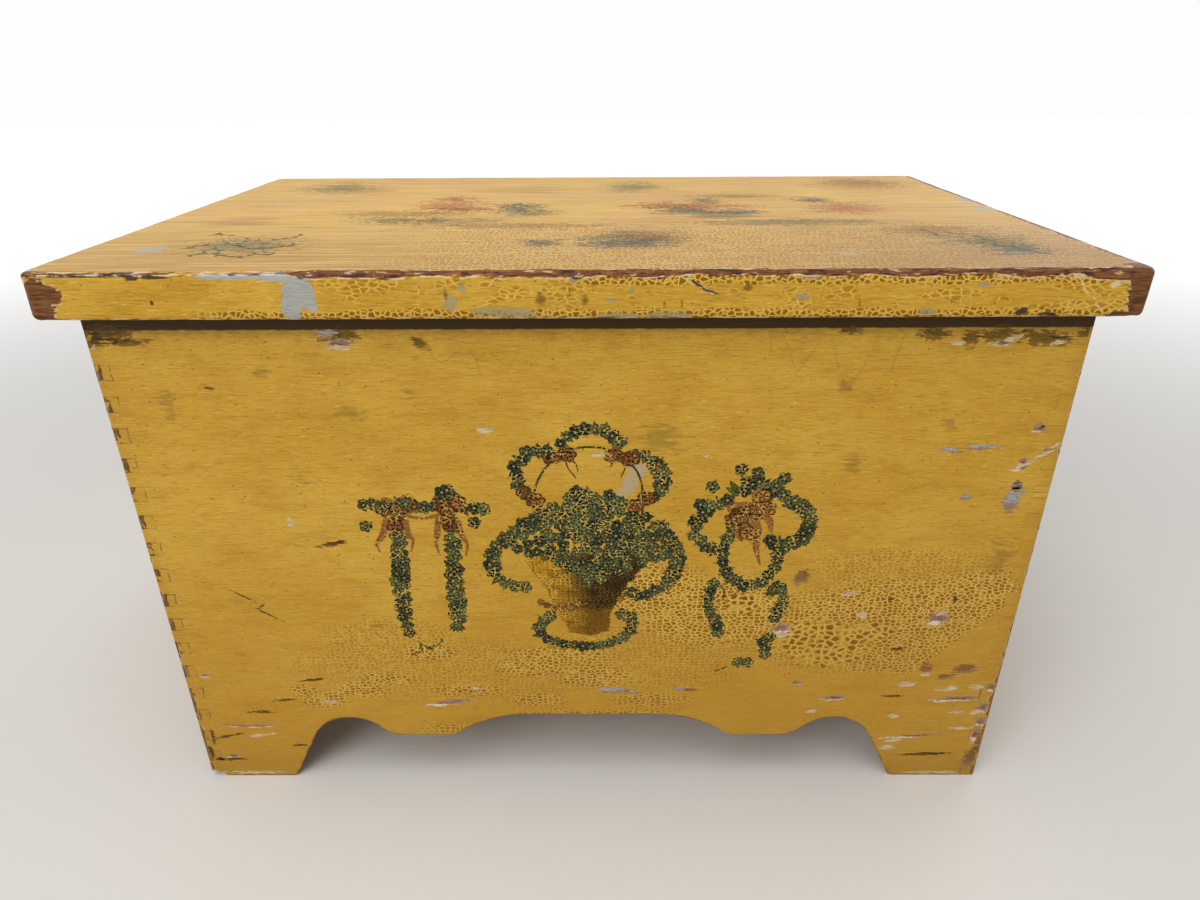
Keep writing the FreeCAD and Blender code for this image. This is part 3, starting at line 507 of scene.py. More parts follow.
def crackle(finish, place, sizes, share, jumble=0.8, deep=0.35, closed=0.3, broad=0.1, ridge=RIDGE):
    """Raised pale ridges round sunk amber cells, where the share is 1. Some cells have closed up."""
    border = finish.cells(place, sizes, jumble)
    closing = finish.noise((sizes[0] * 1.6, sizes[0] * 1.6, sizes[1] * 1.6), 2.0)
    depth = border - closing.rise(0.42, 0.72) * closed
    finish.lay(depth.rise(broad - 0.03, broad + 0.02) * share * 0.9, CELL, 0.5)
    finish.lay(depth.rise(broad + 0.03, broad + 0.14) * share * deep, CELL_DEEP, 0.5)
    finish.lay(border.rise(broad + 0.02, broad - 0.04) * share * 0.9, ridge, 0.4, 0.22)


def box_paint(name, grain, marked=False):
    """The chest's outer paint, brushed along the grain's axis, and bare pine on the faces inside the box."""
    finish = Finish(name, OCHRE, 0.45, specular=0.18)
    brushed_ochre(finish, along(grain, 15, 0.8))
    ragged = finish.noise((5, 5, 2.5), 4.0, 0.65)
    if marked:
        front_marks(finish, ragged)
    else:
        plain_marks(finish, Face(0, 0, grain, 2, 1))
    joint_ghosts(finish, ragged)
    worn_arrises(finish, ragged)
    # Dirt with painted shadow under the lid's overhang, and painted shade near the floor.
    grime_and_painted_shade(finish, ragged)
    ends, sides = wall_gaps(finish)
    inside = ends.least(sides).rise(BOARD - 0.5 * MM, BOARD - 0.1 * MM)
    finish.lay(inside, pine_grain(finish, grain), 0.62)
    return finish.done()


def wall_gaps(finish):
    """How far in a place lies from the box's ends, and from its front or back."""
    return HALF_WIDTH - abs(finish.x), HALF_DEPTH - abs(finish.y - MIDDLE)


def plain_marks(finish, side):
    """What the hidden walls have: a little crackle, a few chips and smudges."""
    flat = finish.shaken(finish.flat(side), (6,) * 3, 1.6)
    patches = finish.noise((110, 110, 70), 2.0)
    crackle(finish, flat, (3.2, 2.2, FLAT), patches.rise(0.55, 0.7) * 0.7)
    chips = finish.noise((26, 26, 8), 4.0, 0.62)
    finish.lay(chips.rise(0.71, 0.735) * 0.6, CREAM, 0.6)
    finish.lay(chips.rise(0.73, 0.75), MAUVE, 0.6, -0.12)
    smudges = finish.noise((46, 46, 26))
    finish.lay(smudges.rise(0.62, 0.8) * 0.35, GREASE_AND_SHADE)


def front_marks(finish, ragged):
    """What time has left on the front: crackle in three sizes, smudges, runs and a rubbed wedge."""
    wavy = finish.shaken(finish.flat(BOX_FRONT), (34, 9, FLAT), 2.4)
    torn = finish.shaken(wavy, (3, 2.4, FLAT), 2.2)
    blur = (ragged - 0.5) * 0.9
    start, end = (BOX_FRONT.at(u, v) for u, v in CRACKLE_STOP)
    slope = (end.y - start.y) / (end.x - start.x)
    above = (finish.z - start.y) - (finish.x - start.x) * slope
    stopped = above.rise(-0.5 * MM, 0.5 * MM)
    fine = finish.marked("fine_crackle", blur, 1.05, 0.5) * stopped
    middle = finish.marked("middle_crackle", blur, 1.25, 0.6) * stopped
    coarse = finish.marked("coarse_crackle", blur, 1.0, 0.8)
    bright = colour("#EFCC6C")
    rows = finish.z / (2.0 * MM) + finish.noise((22, FLAT, 5)) * 3
    rows = abs(rows.fraction() - 0.5)
    share = finish.noise((7, FLAT, 2)).rise(0.4, 0.6) * fine * (1 - coarse)
    finish.lay(rows.rise(0.36, 0.46) * share * 0.6, bright, lift=0.14)
    finish.lay(rows.rise(0.2, 0.08) * share * 0.5, CELL, lift=-0.08)
    crackle(finish, wavy, (3.4, 2.2, FLAT), fine * (1 - middle) * 0.6, 0.85, 0.25, 0.4)
    crackle(finish, wavy, (3.6, 2.4, FLAT), middle * (1 - coarse), 0.9, 0.65, ridge=bright)
    crackle(finish, torn, (5.2, 4.0, FLAT), coarse, 1.0, 1.0, 0.4, 0.13)
    finish.lay(finish.marked("rubbed", blur * 0.5, 1.1, 0.6) * 0.55, UNDERCOAT)
    streaks = finish.noise((12, FLAT, 2.2), 4.0, 0.65)
    smudges = finish.marked("smudges", blur * 1.2 + (streaks - 0.5) * 3.2, 1.0, 0.3)
    finish.lay(smudges * 0.42, GREASE_AND_SHADE)
    finish.lay(finish.stored("run") * 0.22, OCHRE_SHADOW)


def joint_ghosts(finish, ragged):
    """Thin broken lines where the box joints show through the paint, clearest at the left corners."""
    step = (BOX_TOP - finish.z) / FINGER
    row = step.fraction()
    odd = (step * 0.5).fraction().rise(0.499, 0.501)
    ends, sides = wall_gaps(finish)
    wavy = ends.most(sides) + (ragged - 0.5) * (2.4 * MM)
    line = (row + (ragged - 0.5) * 0.12).least(1 - row).rise(0.09, 0.03)
    end_line = abs(wavy - BOARD * 0.92).rise(0.5 * MM, 0.2 * MM)
    outline = (line * wavy.rise(BOARD + 0.3 * MM, BOARD - 0.5 * MM)).most(end_line) * odd
    broken = finish.noise((5, 5, 5)).rise(0.4, 0.6)
    left = finish.x.rise(HALF_WIDTH / 2, -HALF_WIDTH / 2) * 0.6 + 0.12
    finish.lay(outline * broken * left * 0.8, PLUM, 0.6, -0.1)
    corner = ends.most(finish.y - FRONT_FACE) + (ragged - 0.5) * (2.6 * MM)
    knocked = corner.rise(4.2 * MM, 3.4 * MM) * odd * broken.rise(0.0, 0.2) * left
    under = finish.mixed(ragged.rise(0.52, 0.6), PLUM, OLD_RED)
    finish.lay(knocked.rise(0.3, 0.5), under, 0.6, -0.15)


def worn_arrises(finish, ragged):
    """Paint rubbed through to the old coats and the wood along the corners, the rim and the apron."""
    gap = edge_distance(finish, (-HALF_WIDTH, FRONT_FACE, -1), (HALF_WIDTH, BACK_FACE, BOX_TOP))
    lumps = finish.noise((14, 14, 11), 4.0, 0.62)
    low_down = finish.z.rise(170 * MM, 50 * MM)
    reach = lumps.rise(0.48, 0.72) * (1.5 * MM) + lumps.rise(0.4, 0.58) * low_down * (2.2 * MM)
    # Darker paint within 9 mm of every edge of the box.
    finish.lay(gap.rise(9 * MM, 0.0) * 0.35, OCHRE_DEEP)
    finish.lay((gap - reach * 1.4).rise(0.5 * MM, 0.1 * MM) * 0.4, CREAM, 0.5)
    under = finish.mixed(ragged.rise(0.42, 0.6), OLD_RED, PLUM)
    finish.lay((gap - reach).rise(0.25 * MM, -0.25 * MM), under, 0.6, -0.12)
    apron = (finish.stored("arris") * 1.2 + lumps.rise(0.38, 0.62) * 0.9).rise(1.1, 1.5)
    ends, sides = wall_gaps(finish)
    outer = ends.least(sides).rise(3 * MM, 1.5 * MM)
    finish.lay(apron * outer * finish.z.rise(APRON_TOP + 4 * MM, APRON_TOP), under, 0.6, -0.08)


def grime_and_painted_shade(finish, ragged):
    """A dark band under the lid's overhang, painted shadow and dirt, and painted shade darkening the paint
    near the floor.
    """
    # Painted shade: the paint is darker towards the floor and towards the right.
    low = finish.z + (finish.x + 80 * MM) * -0.12
    finish.lay(low.rise(210 * MM, 20 * MM) * 0.5, OCHRE_DEEP)
    # Painted shadow of the lid's overhang, with dirt: a haze and, at the top, a dark band, darkest on the
    # outer faces.
    upper_dirt_and_shade = (finish.z + (ragged - 0.5) * (13 * MM)).rise(BAND_FOOT - 7 * MM, BAND_FOOT + MM)
    finish.lay(upper_dirt_and_shade * 0.45, GREASE_AND_SHADE)
    ledge = (finish.z + (ragged - 0.5) * (1.2 * MM)).rise(BAND_FOOT - 0.3 * MM, BAND_FOOT + 0.5 * MM)
    finish.lay(ledge * 0.5, GREASE_AND_SHADE, 0.6)
    ends, sides = wall_gaps(finish)
    finish.lay(ledge * ends.least(sides).rise(1.6 * MM, 0.6 * MM) * 0.93, DIRT_AND_SHADE, 0.6)
    # Painted shade just above the floor.
    foot = (finish.z + (ragged - 0.5) * (30 * MM)).rise(32 * MM, 0.0)
    finish.lay(foot * 0.25, OCHRE_SHADOW)


def pine_grain(finish, grain):
    """Old bare pine: growth lines along the grain's axis, darker late wood and a yellowed tone."""
    waves = finish.noise(along(grain, 240, 9), 3.0, 0.5) * 22
    lines = waves.math("SINE", waves)
    fibre = finish.noise(along(grain, 60, 0.7))
    wood = finish.mixed(lines.rise(-0.4, 0.9), colour("#CDA774"), colour("#B88C56"))
    return finish.mixed(fibre.rise(0.35, 0.7) * 0.5, wood, colour("#8F6338"))


def pine(name, grain):
    """Bare pine with its grain along an axis."""
    finish = Finish(name, OCHRE, 0.62)
    finish.colour = pine_grain(finish, grain)
    fibre = finish.noise(along(grain, 70, 0.8))
    finish.lay(fibre.rise(0.3, 0.7), lift=0.06)
    stains = finish.noise((50, 50, 50))
    finish.lay(stains.rise(0.5, 0.8) * 0.4, colour("#6B4A2A"))
    return finish.done()


# Marks on the lid's front edge and its top

EDGE_ZONES = {
    "edge_undercoat": [
        (298, 293, 16, 15), (291, 308, 10, 14), (285, 277, 34, 5), (225, 277, 34, 3), (311, 305, 6, 8, 20),
    ],
    "edge_grey": [
        (512, 313, 26, 5), (490, 311, 22, 4), (620, 317, 26, 5), (668, 316, 28, 5), (560, 320, 60, 3),
        (612, 300, 6, 3), (632, 290, 3, 4), (572, 280, 4, 5, -30), (616, 274, 3, 3), (461, 288, 5, 6),
        (812, 276, 18, 3, 4), (803, 297, 8, 4), (928, 312, 12, 4), (985, 284, 9, 3), (450, 303, 8, 10, 20),
    ],
    "edge_cream": [
        (190, 271, 30, 2), (130, 273, 20, 2), (245, 270, 30, 2.2), (300, 271, 16, 2.2), (420, 270, 36, 1.6),
        (580, 269, 20, 1.5), (700, 268, 14, 2), (835, 266, 10, 3), (900, 267, 20, 1.4), (1000, 268, 18, 1.8),
        (690, 281, 10, 1.2, -32), (705, 289, 14, 1.4, -30), (1085, 288, 16, 1.0, -52),
        (1098, 305, 14, 1.0, -52), (1116, 284, 5, 3, 30),
    ],
    "edge_dark": [
        (513, 274, 8, 3), (563, 275, 10, 3), (661, 274, 9, 5), (80, 276, 80, 1.8), (150, 279, 20, 1.4, 3),
        (697, 284, 10, 1.6, -30), (712, 292, 8, 1.5, -10), (1022, 312, 6, 4, 30), (1048, 315, 10, 3),
        (700, 267, 12, 3), (480, 270, 60, 1.4), (400, 272, 50, 1.2), (730, 266, 12, 4), (130, 279, 8, 2, 10),
        (152, 303, 2, 3),
    ],
    "edge_ticks": [
        (570, 292, 1.6, 7, 10), (585, 300, 5, 8), (594, 288, 1.6, 12), (540, 300, 7, 9), (665, 305, 2, 7),
        (682, 304, 1.6, 8), (633, 303, 1.6, 8), (207, 286, 1.4, 10), (953, 300, 2, 9), (860, 303, 2, 5),
        (748, 287, 7, 5), (446, 296, 3, 12),
    ],
    "edge_wood": [
        (37, 303, 15, 24, -6), (50, 296, 12, 8), (1142, 294, 13, 34, 8), (1120, 316, 16, 4),
    ],
}
TOP_ZONES = {
    "top_dark": [
        (650, 240, 40, 3), (620, 232, 16, 2), (585, 245, 10, 2, -8), (720, 215, 40, 5),
    ],
    "top_grey": [
        (975, 200, 22, 5, -14), (985, 210, 16, 3, -10), (850, 254, 12, 1.6), (150, 250, 20, 4, 20),
        (940, 186, 12, 3, -14),
    ],
    "top_red": [
        (850, 182, 46, 4), (520, 190, 60, 4), (370, 190, 40, 4), (240, 222, 40, 6),
    ],
}


def lid_paint(name):
    """The lid's paint: duller and browner on top, ochre on its edges, worn through along its arrises."""
    finish = Finish(name, OCHRE, 0.5, specular=0.12)
    brushed_ochre(finish, (15, 1.0, 0.8))
    ragged = finish.noise((5, 3, 2.5), 4.0, 0.65)
    top_finish(finish, ragged)
    edge_finish(finish, ragged)
    lid_arrises(finish, ragged)
    underside = finish.z.rise(LID_BOTTOM + 0.6 * MM, LID_BOTTOM + 0.2 * MM)
    finish.lay(underside, pine_grain(finish, 0), 0.62)
    return finish.done()


def top_finish(finish, ragged):
    """The lid's top, rubbed to a dull tan, with painted shade that makes it browner towards the front, where
    it is finely crackled.
    """
    on_top = finish.z.rise(LID_TOP - 0.8 * MM, LID_TOP - 0.2 * MM)
    clouds = finish.noise((120, 60, FLAT))
    streaks = finish.noise((50, 1.6, FLAT), 4.0, 0.65)
    # Painted shade and sheen: the top is darker towards the front and paler towards the back.
    forward = finish.y.rise(LID_JOINT + 40 * MM, LID_FRONT)
    tan = finish.mixed(clouds.rise(0.35, 0.65), LID_OCHRE, LID_TAN)
    tan = finish.mixed(forward, tan, LID_SHADE)
    tan = finish.mixed(streaks.rise(0.5, 0.64) * 0.6, tan, LID_RIDGE)
    finish.lay(on_top, tan, 0.5)
    finish.lay(on_top * streaks.rise(0.46, 0.34) * 0.6, colour("#94692C"))
    loose = finish.shaken(finish.flat(LID_FACE), (9,) * 3, 2.4)
    front_part = (finish.y + (clouds - 0.5) * (90 * MM)).rise(LID_JOINT + 5 * MM, LID_JOINT - 45 * MM)
    swayed = finish.x + (clouds - 0.5) * (60 * MM)
    zone = front_part * swayed.rise(-150 * MM, -60 * MM)
    crackle(finish, loose, (3.2, 4.6, FLAT), on_top * zone * 0.6, 1.0, 0.1, 0.5, ridge=LID_RIDGE)
    finish.lay(on_top * swayed.rise(40 * MM, 240 * MM) * forward * 0.6, colour("#8F6A36"))
    red = finish.marked("top_red", (streaks - 0.5) * 2.4, 1.1, 0.3)
    finish.lay(on_top * red * 0.35, OLD_ORANGE)
    dark = finish.marked("top_dark", (streaks - 0.5) * 1.6, 1.0, 0.5)
    finish.lay(on_top * dark * 0.55, colour("#5E4C34"))
    finish.lay(on_top * finish.marked("top_grey", ragged - 0.5, 1.0, 0.6) * 0.6, UNDERCOAT)


def edge_finish(finish, ragged):
    """The lid's front edge, with crackle in two wavy bands and its chips, scratches and ticks."""
    on_front = finish.y.rise(LID_FRONT + 3.4 * MM, LID_FRONT + 1.2 * MM)
    loose = finish.shaken(finish.flat(LID_EDGE), (8,) * 3, 2.4)
    swayed = finish.z + (finish.noise((14, FLAT, FLAT), 3.0, 0.6) - 0.5) * (7 * MM)
    upper = swayed.rise(LID_TOP - 8 * MM, LID_TOP - 6.4 * MM) * finish.x.rise(-25 * MM, 5 * MM)
    lower = swayed.rise(LID_BOTTOM + 6 * MM, LID_BOTTOM + 4.4 * MM) * finish.x.rise(-210 * MM, -180 * MM)
    bands = upper.most(lower)
    crackle(finish, loose, (3.2, 2.6, FLAT), on_front * bands, 0.9, 0.6)
    wisps = finish.noise((24, FLAT, 8)).rise(0.5, 0.62)
    net = wisps * finish.x.rise(-190 * MM, -130 * MM) * (1 - bands)
    crackle(finish, loose, (5.0, 2.4, FLAT), on_front * net * 0.75, 1.0, 0.2, 0.4)
    rough = (ragged - 0.5) * 1.5
    layers = (
        ("edge_grey", 1.0, 1.0, 0.75, 0.7, colour("#958F70"), 0.6, -0.1),
        ("edge_ticks", 1.2, 1.0, 0.4, 0.6, DIRT_AND_SHADE, None, 0.0),
        ("edge_undercoat", 0.5, 1.05, 0.95, 1.0, UNDERCOAT, 0.55, -0.15),
        ("edge_cream", 1.0, 1.1, 0.85, 0.85, CREAM, 0.5, 0.0),
        ("edge_dark", 0.5, 1.1, 0.85, 0.9, PLUM, 0.65, -0.25),
    )
    for zone, shake, clear, full, cover, shade, roughness, lift in layers:
        marks = finish.marked(zone, rough * shake, clear, full)
        finish.lay(on_front * marks * cover, shade, roughness, lift)


def lid_arrises(finish, ragged):
    """Bare brown wood along the lid's top arris and on its corners, with plum and cream at its borders."""
    low = (-LID_HALF_WIDTH, LID_FRONT, LID_BOTTOM)
    high = (LID_HALF_WIDTH, LID_BACK, LID_TOP)
    gap = edge_distance(finish, low, high)
    lumps = finish.noise((30, 30, 12), 4.0, 0.6)
    upper = finish.z.rise(LID_BOTTOM + 8 * MM, LID_BOTTOM + 12 * MM)
    middle_part = finish.x.rise(-152 * MM, -138 * MM) * (2.0 * MM)
    right_part = finish.x.rise(190 * MM, 280 * MM) * (2.6 * MM)
    reach = upper * (middle_part + right_part + 0.9 * MM) * lumps.rise(0.2, 0.62) + 0.5 * MM
    bared = finish.stored("edge_wood") + (ragged - 0.5) * 1.1
    worn = (gap - reach + (ragged - 0.5) * (1.2 * MM)).rise(0.25 * MM, -0.1 * MM)
    worn = worn.most(bared.rise(1.02, 0.96))
    fringe = (gap - reach + (ragged - 0.5) * (1.6 * MM)).rise(1.4 * MM, 0.6 * MM)
    fringe = fringe.most(bared.rise(1.25, 1.08))
    specks = finish.noise((9, 4, 2))
    finish.lay(fringe * specks.rise(0.47, 0.57) * 0.85, CREAM, 0.5)
    finish.lay(fringe * specks.rise(0.47, 0.38) * 0.9, PLUM, 0.6)
    streak = finish.noise((18, 1.2, 1.0), 4.0, 0.65)
    wood = finish.mixed(streak.rise(0.36, 0.54), OLD_ORANGE, OLD_RED)
    wood = finish.mixed(specks.rise(0.52, 0.6) * 0.8, wood, PLUM)
    wood = finish.mixed(specks.rise(0.4, 0.34) * 0.6, wood, CREAM)
    corner_wood = finish.mixed(streak.rise(0.42, 0.62), colour("#7C4E2A"), colour("#4E2E14"))
    wood = finish.mixed(bared.rise(1.05, 0.8), wood, corner_wood)
    pink = specks.rise(0.5, 0.42) * finish.x.rise(-140 * MM, -160 * MM) * bared.rise(0.9, 1.1)
    wood = finish.mixed(pink * 0.5, wood, colour("#B08468"))
    finish.lay(worn, wood, 0.5, -0.15)


# Finishes of the ornament and the metal

def ornament_paint(name, light_code, dark_code, coarse=1.3, rubbed=0.4, rim=0.0):
    """Painted ornament in lighter and darker tones, hatched and rubbed, with crackle through it."""
    light, dark = colour(light_code), colour(dark_code)
    finish = Finish(name, light, 0.5, specular=0.08)
    finish.colour = finish.mixed(finish.stored("tone").rise(0.1, 0.95), light, dark)
    hatch = finish.noise((coarse * 2.2, coarse * 1.2, coarse), 3.0, 0.6)
    finish.lay(hatch.rise(0.45, 0.58) * 0.85, dark)
    reach = finish.stored("reach")
    finish.lay(reach.rise(0.6, 0.15) * 0.6, dark)
    finish.lay(reach.rise(0.78, 0.98) * rim, colour("#2B1A10"))
    torn = finish.shaken(finish.flat(BOX_FRONT), (2.4, 2.0, FLAT), 2.6)
    border = finish.cells(torn, (3.4, 2.4, FLAT), 0.95)
    patches = finish.noise((8, 8, 7)).rise(0.47, 0.6)
    finish.lay(border.rise(0.12, 0.24) * patches * 0.4, colour("#17170F"))
    finish.lay(border.rise(0.11, 0.04) * (patches * 0.85 + 0.1), RIDGE, 0.4, 0.12)
    threads = finish.noise((12, 0.8, 0.7), 3.0, 0.6)
    finish.cover = threads.rise(rubbed - 0.06, rubbed + 0.02)
    return finish.done()


def faded_paint(name, light_code, dark_code, cover):
    """What is left of the ornament on the lid: a thin stain in streaks along the grain."""
    light, dark = colour(light_code), colour(dark_code)
    finish = Finish(name, light, 0.5, specular=0.2)
    streaks = finish.noise((16, 2.2, FLAT), 4.0, 0.65)
    specks = finish.noise((3, 2, FLAT), 3.0, 0.6)
    finish.colour = finish.mixed(specks.rise(0.4, 0.65), light, dark)
    worn = finish.stored("reach") + (streaks - 0.5) * 2.6 + (specks - 0.5) * 3.0
    finish.cover = worn.rise(1.0, 0.3) * cover
    return finish.done()


def chip_finish(name, light, dark, rim, cover=1.0):
    """The old coats and the wood in a chip, streaked along the brush lines, with a pale lower rim."""
    finish = Finish(name, light, 0.6, specular=0.2)
    grain = finish.noise((7, 1.2, 1.1), 4.0, 0.65)
    ragged = finish.noise((3, 2, 1.4), 3.0, 0.6)
    finish.colour = finish.mixed(grain.rise(0.42, 0.6), light, dark)
    finish.lay(finish.marked("drop", (ragged - 0.5) * 1.6, -0.2, -0.5), rim)
    reach = finish.stored("reach") + (grain - 0.5) * 3.0 + (ragged - 0.5) * 1.6
    finish.lay(reach.rise(0.66, 0.84) * 0.6, rim)
    finish.cover = reach.rise(0.98, 0.7) * cover
    return finish.done()


def steel(name, tone, roughness):
    """Dull steel with brown rust in blotches."""
    finish = Finish(name, tone, roughness, metallic=0.85)
    grain = finish.noise((6, 2, 2), 4.0)
    finish.lay(grain.rise(0.4, 0.7) * 0.5, colour("#6F6B63"), roughness + 0.15, 0.02)
    rust = finish.noise((9, 9, 9), 5.0, 0.65)
    finish.lay(rust.rise(0.56, 0.68), colour("#6A4429"), 0.75, 0.05)
    return finish.done()


# Modelling

def take(piece):
    """Select one piece alone and make it the active one."""
    bpy.ops.object.select_all(action="DESELECT")
    piece.select_set(True)
    bpy.context.view_layer.objects.active = piece


class Bench:
    """A piece open in edit mode: its faces or edges are picked by a test, and an operator works on them."""

    def __init__(self, piece):
        take(piece)
        self.piece = piece
        bpy.ops.object.mode_set(mode="EDIT")

    def pick_all(self):
        bpy.context.tool_settings.mesh_select_mode = (True, False, False)
        bpy.ops.mesh.select_all(action="SELECT")

    def pick(self, kind, test):
        """Select the edges or the faces that pass a test."""
        bpy.context.tool_settings.mesh_select_mode = (False, kind == "edges", kind == "faces")
        bpy.ops.mesh.select_all(action="DESELECT")
        shape = bmesh.from_edit_mesh(self.piece.data)
        for member in getattr(shape, kind):
            if test(member):
                member.select_set(True)
        bmesh.update_edit_mesh(self.piece.data)

    def bevel(self, test, width, segments, clamp=False):
        self.pick("edges", test)
        bpy.ops.mesh.bevel(offset=width, segments=segments, affect="EDGES", clamp_overlap=clamp)

    def slice_across(self, axis, start, end, step):
        """Cut a piece across at even steps, so that its surface can be worked."""
        count = round((end - start) / step)
        for index in range(count + 1):
            self.pick_all()
            place = along(axis, start + (end - start) * index / count, 0)
            bpy.ops.mesh.bisect(plane_co=place, plane_no=along(axis, 1, 0))

    def close(self):
        bpy.ops.object.mode_set(mode="OBJECT")
        return self.piece


def started(operator, **settings):
    """A new primitive at its size and place, which are put into its mesh."""
    bpy.ops.object.select_all(action="DESELECT")
    operator(**settings)
    bpy.ops.object.transform_apply(location=True, rotation=False, scale=True)
    return bpy.context.object


def modified(piece, kind, **settings):
    """Shape a piece by a modifier, and apply it."""
    modifier = piece.modifiers.new("shaping", kind)
    for setting, value in settings.items():
        setattr(modifier, setting, value)
    take(piece)
    bpy.ops.object.modifier_apply(modifier="shaping")


def new_piece(name, mesh):
    piece = bpy.data.objects.new(name, mesh)
    bpy.context.scene.collection.objects.link(piece)
    return piece


def merged_copy(node, name):
    """A CAD node's shape as a new piece, its doubles merged and its flat faces whole again."""
    piece = new_piece(name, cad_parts[node].data.copy())
    bench = Bench(piece)
    bench.pick_all()
    bpy.ops.mesh.remove_doubles(threshold=WELD)
    bpy.ops.mesh.dissolve_limited(angle_limit=math.radians(0.5))
    return bench.close()


def smooth(piece, degrees=32):
    take(piece)
    bpy.ops.object.shade_smooth_by_angle(angle=math.radians(degrees))


def finished(piece, body, material, slot, *nodes):
    """Give a piece its material, let it ride on its body and stand for its CAD nodes; its slot is not used.
    """
    piece.data.materials.clear()
    piece.data.materials.append(material)
    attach(piece, body)
    if nodes:
        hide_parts(*nodes)
    return piece


def middle_of(edge):
    return (edge.verts[0].co + edge.verts[1].co) / 2


def sharp(edge, degrees=50):
    return len(edge.link_faces) == 2 and edge.calc_face_angle() > math.radians(degrees)


def on_outside(point):
    """How many of the box's outer side faces a point lies on."""
    sides = [abs(abs(point.x) - HALF_WIDTH), abs(point.y - FRONT_FACE), abs(point.y - BACK_FACE)]
    return sum(gap < TOUCH for gap in sides)


def in_joint(point):
    """Whether a point lies where the boards' fingers interlock."""
    aside = HALF_WIDTH - abs(point.x)
    deep = min(point.y - FRONT_FACE, BACK_FACE - point.y)
    return max(aside, deep) < BOARD + TOUCH


def is_corner(edge):
    return sharp(edge) and on_outside(middle_of(edge)) == 2


def is_rim(edge):
    point = middle_of(edge)
    return sharp(edge) and abs(point.z - BOX_TOP) < TOUCH and not in_joint(point)


def is_apron(edge):
    point = middle_of(edge)
    return sharp(edge) and point.z < APRON_TOP and not in_joint(point)


def is_joint_line(edge):
    point = middle_of(edge)
    return sharp(edge) and in_joint(point) and on_outside(point) >= 1 and not is_corner(edge)


def box_board(node, material):
    """A wall of the box: its arrises eased by wear, a hairline groove round each finger of the joints."""
    piece = merged_copy(node, node + "_painted")
    bench = Bench(piece)
    bench.pick("faces", lambda face: face.calc_area() > BROAD_FACE and on_outside(face.calc_center_median()))
    bpy.ops.mesh.inset(thickness=ARRIS_BAND, use_individual=True)
    bench.bevel(is_corner, CORNER_ROUND, 3, True)
    bench.bevel(lambda edge: is_rim(edge) or is_apron(edge), ARRIS_ROUND, 2, True)
    bench.bevel(is_joint_line, JOINT_ROUND, 1, True)
    marked = node == "front_board"
    if marked:
        bench.slice_across(0, BOARD - HALF_WIDTH, HALF_WIDTH - BOARD, ZONE_STEP)
        bench.slice_across(2, 2 * FINGER, BOX_TOP - FINGER, ZONE_STEP)
    bench.close()
    mark_arrises(piece)
    if marked:
        store_zones(piece, BOX_FRONT, FRONT_ZONES)
    smooth(piece)
    modified(piece, "WEIGHTED_NORMAL", keep_sharp=True)
    return finished(piece, "chest", material, "box_paint", node)


def store(piece, name, values):
    layer = piece.data.attributes.new(name, "FLOAT", "POINT")
    layer.data.foreach_set("value", values)


def store_zones(piece, face, zones):
    """Store how near each corner lies to the nearest mark: 0 at its middle, 1 at its rim, 2 far off."""
    for name, marks in zones.items():
        ovals = [Oval(face, *mark) for mark in marks]
        values = []
        for corner in piece.data.vertices:
            off = abs(corner.co[face.axis] - face.level) > 2 * LID_CORNER
            spot = Vector((corner.co[face.across], corner.co[face.up]))
            values.append(2.0 if off else min(2.0, min(oval.reach(spot) for oval in ovals)))
        store(piece, name, values)


class Oval:
    """An oval mark on a face, given by its middle, half sizes and turn as pixels and degrees."""

    def __init__(self, face, u, v, wide, tall, turn=0):
        self.centre = face.at(u, v)
        self.half_across, self.half_up = face.size(u, v, wide, tall)
        self.turn = Matrix.Rotation(math.radians(turn), 2)
        self.limit = (LID_HALF_WIDTH if face is LID_FACE else HALF_WIDTH) - 2 * CORNER_ROUND

    def reach(self, spot):
        local = (spot - self.centre) @ self.turn
        return math.hypot(local.x / self.half_across, local.y / self.half_up)

    def ring(self, share, count=20):
        """Points round the mark, at a share of its half sizes, kept on the board."""
        points = []
        for index in range(count):
            angle = math.tau * index / count
            local = Vector((math.cos(angle) * self.half_across, math.sin(angle) * self.half_up)) * share
            point = self.centre + self.turn @ local
            point.x = max(-self.limit, min(self.limit, point.x))
            points.append(point)
        return points


def flakes(name, face, marks, height, body, material, slot):
    """A thin flake at each mark. Its corners store reach, 0 in the middle and 1 at the rim, and drop."""
    points = []
    faces = []
    reaches = []
    drops = []
    for mark in marks:
        oval = Oval(face, *mark)
        rings = [oval.ring(share) for share in FLAKE_SHARES]
        levels = [(oval.centre, height, 0.0)]
        for share, ring in zip(FLAKE_SHARES, rings):
            levels += [(point, height, share) for point in ring]
        levels += [(point, -SUNK, FLAKE_SHARES[-1]) for point in rings[-1]]
        middle = len(points)
        count = len(rings[0])
        for point, lift, share in levels:
            points.append(face.lift(point, lift))
            reaches.append(share)
            drops.append((point.y - oval.centre.y) / oval.half_up)
        for here in range(count):
            after = (here + 1) % count
            faces.append((middle, middle + 1 + here, middle + 1 + after))
            for inner in range(middle + 1, middle + 1 + len(rings) * count, count):
                outer = inner + count
                faces.append((inner + here, outer + here, outer + after, inner + after))
        faces.append(tuple(range(len(points) - count, len(points))))
    piece = laid(name, points, faces)
    store(piece, "reach", reaches)
    store(piece, "drop", drops)
    return finished(piece, body, material, slot)


def mark_arrises(piece):
    """Store 1 along the apron's arris and 0 elsewhere, for the wear to follow."""
    shape = bmesh.new()
    shape.from_mesh(piece.data)
    values = []
    for corner in shape.verts:
        angles = [edge.calc_face_angle(0) for edge in corner.link_edges]
        low = corner.co.z < APRON_TOP and not in_joint(corner.co)
        values.append(1.0 if low and max(angles, default=0) > math.radians(8) else 0.0)
    shape.free()
    store(piece, "arris", values)


# Knocks on the lid's front edge, as pixels: middle, half width, half height, and depth in millimetres

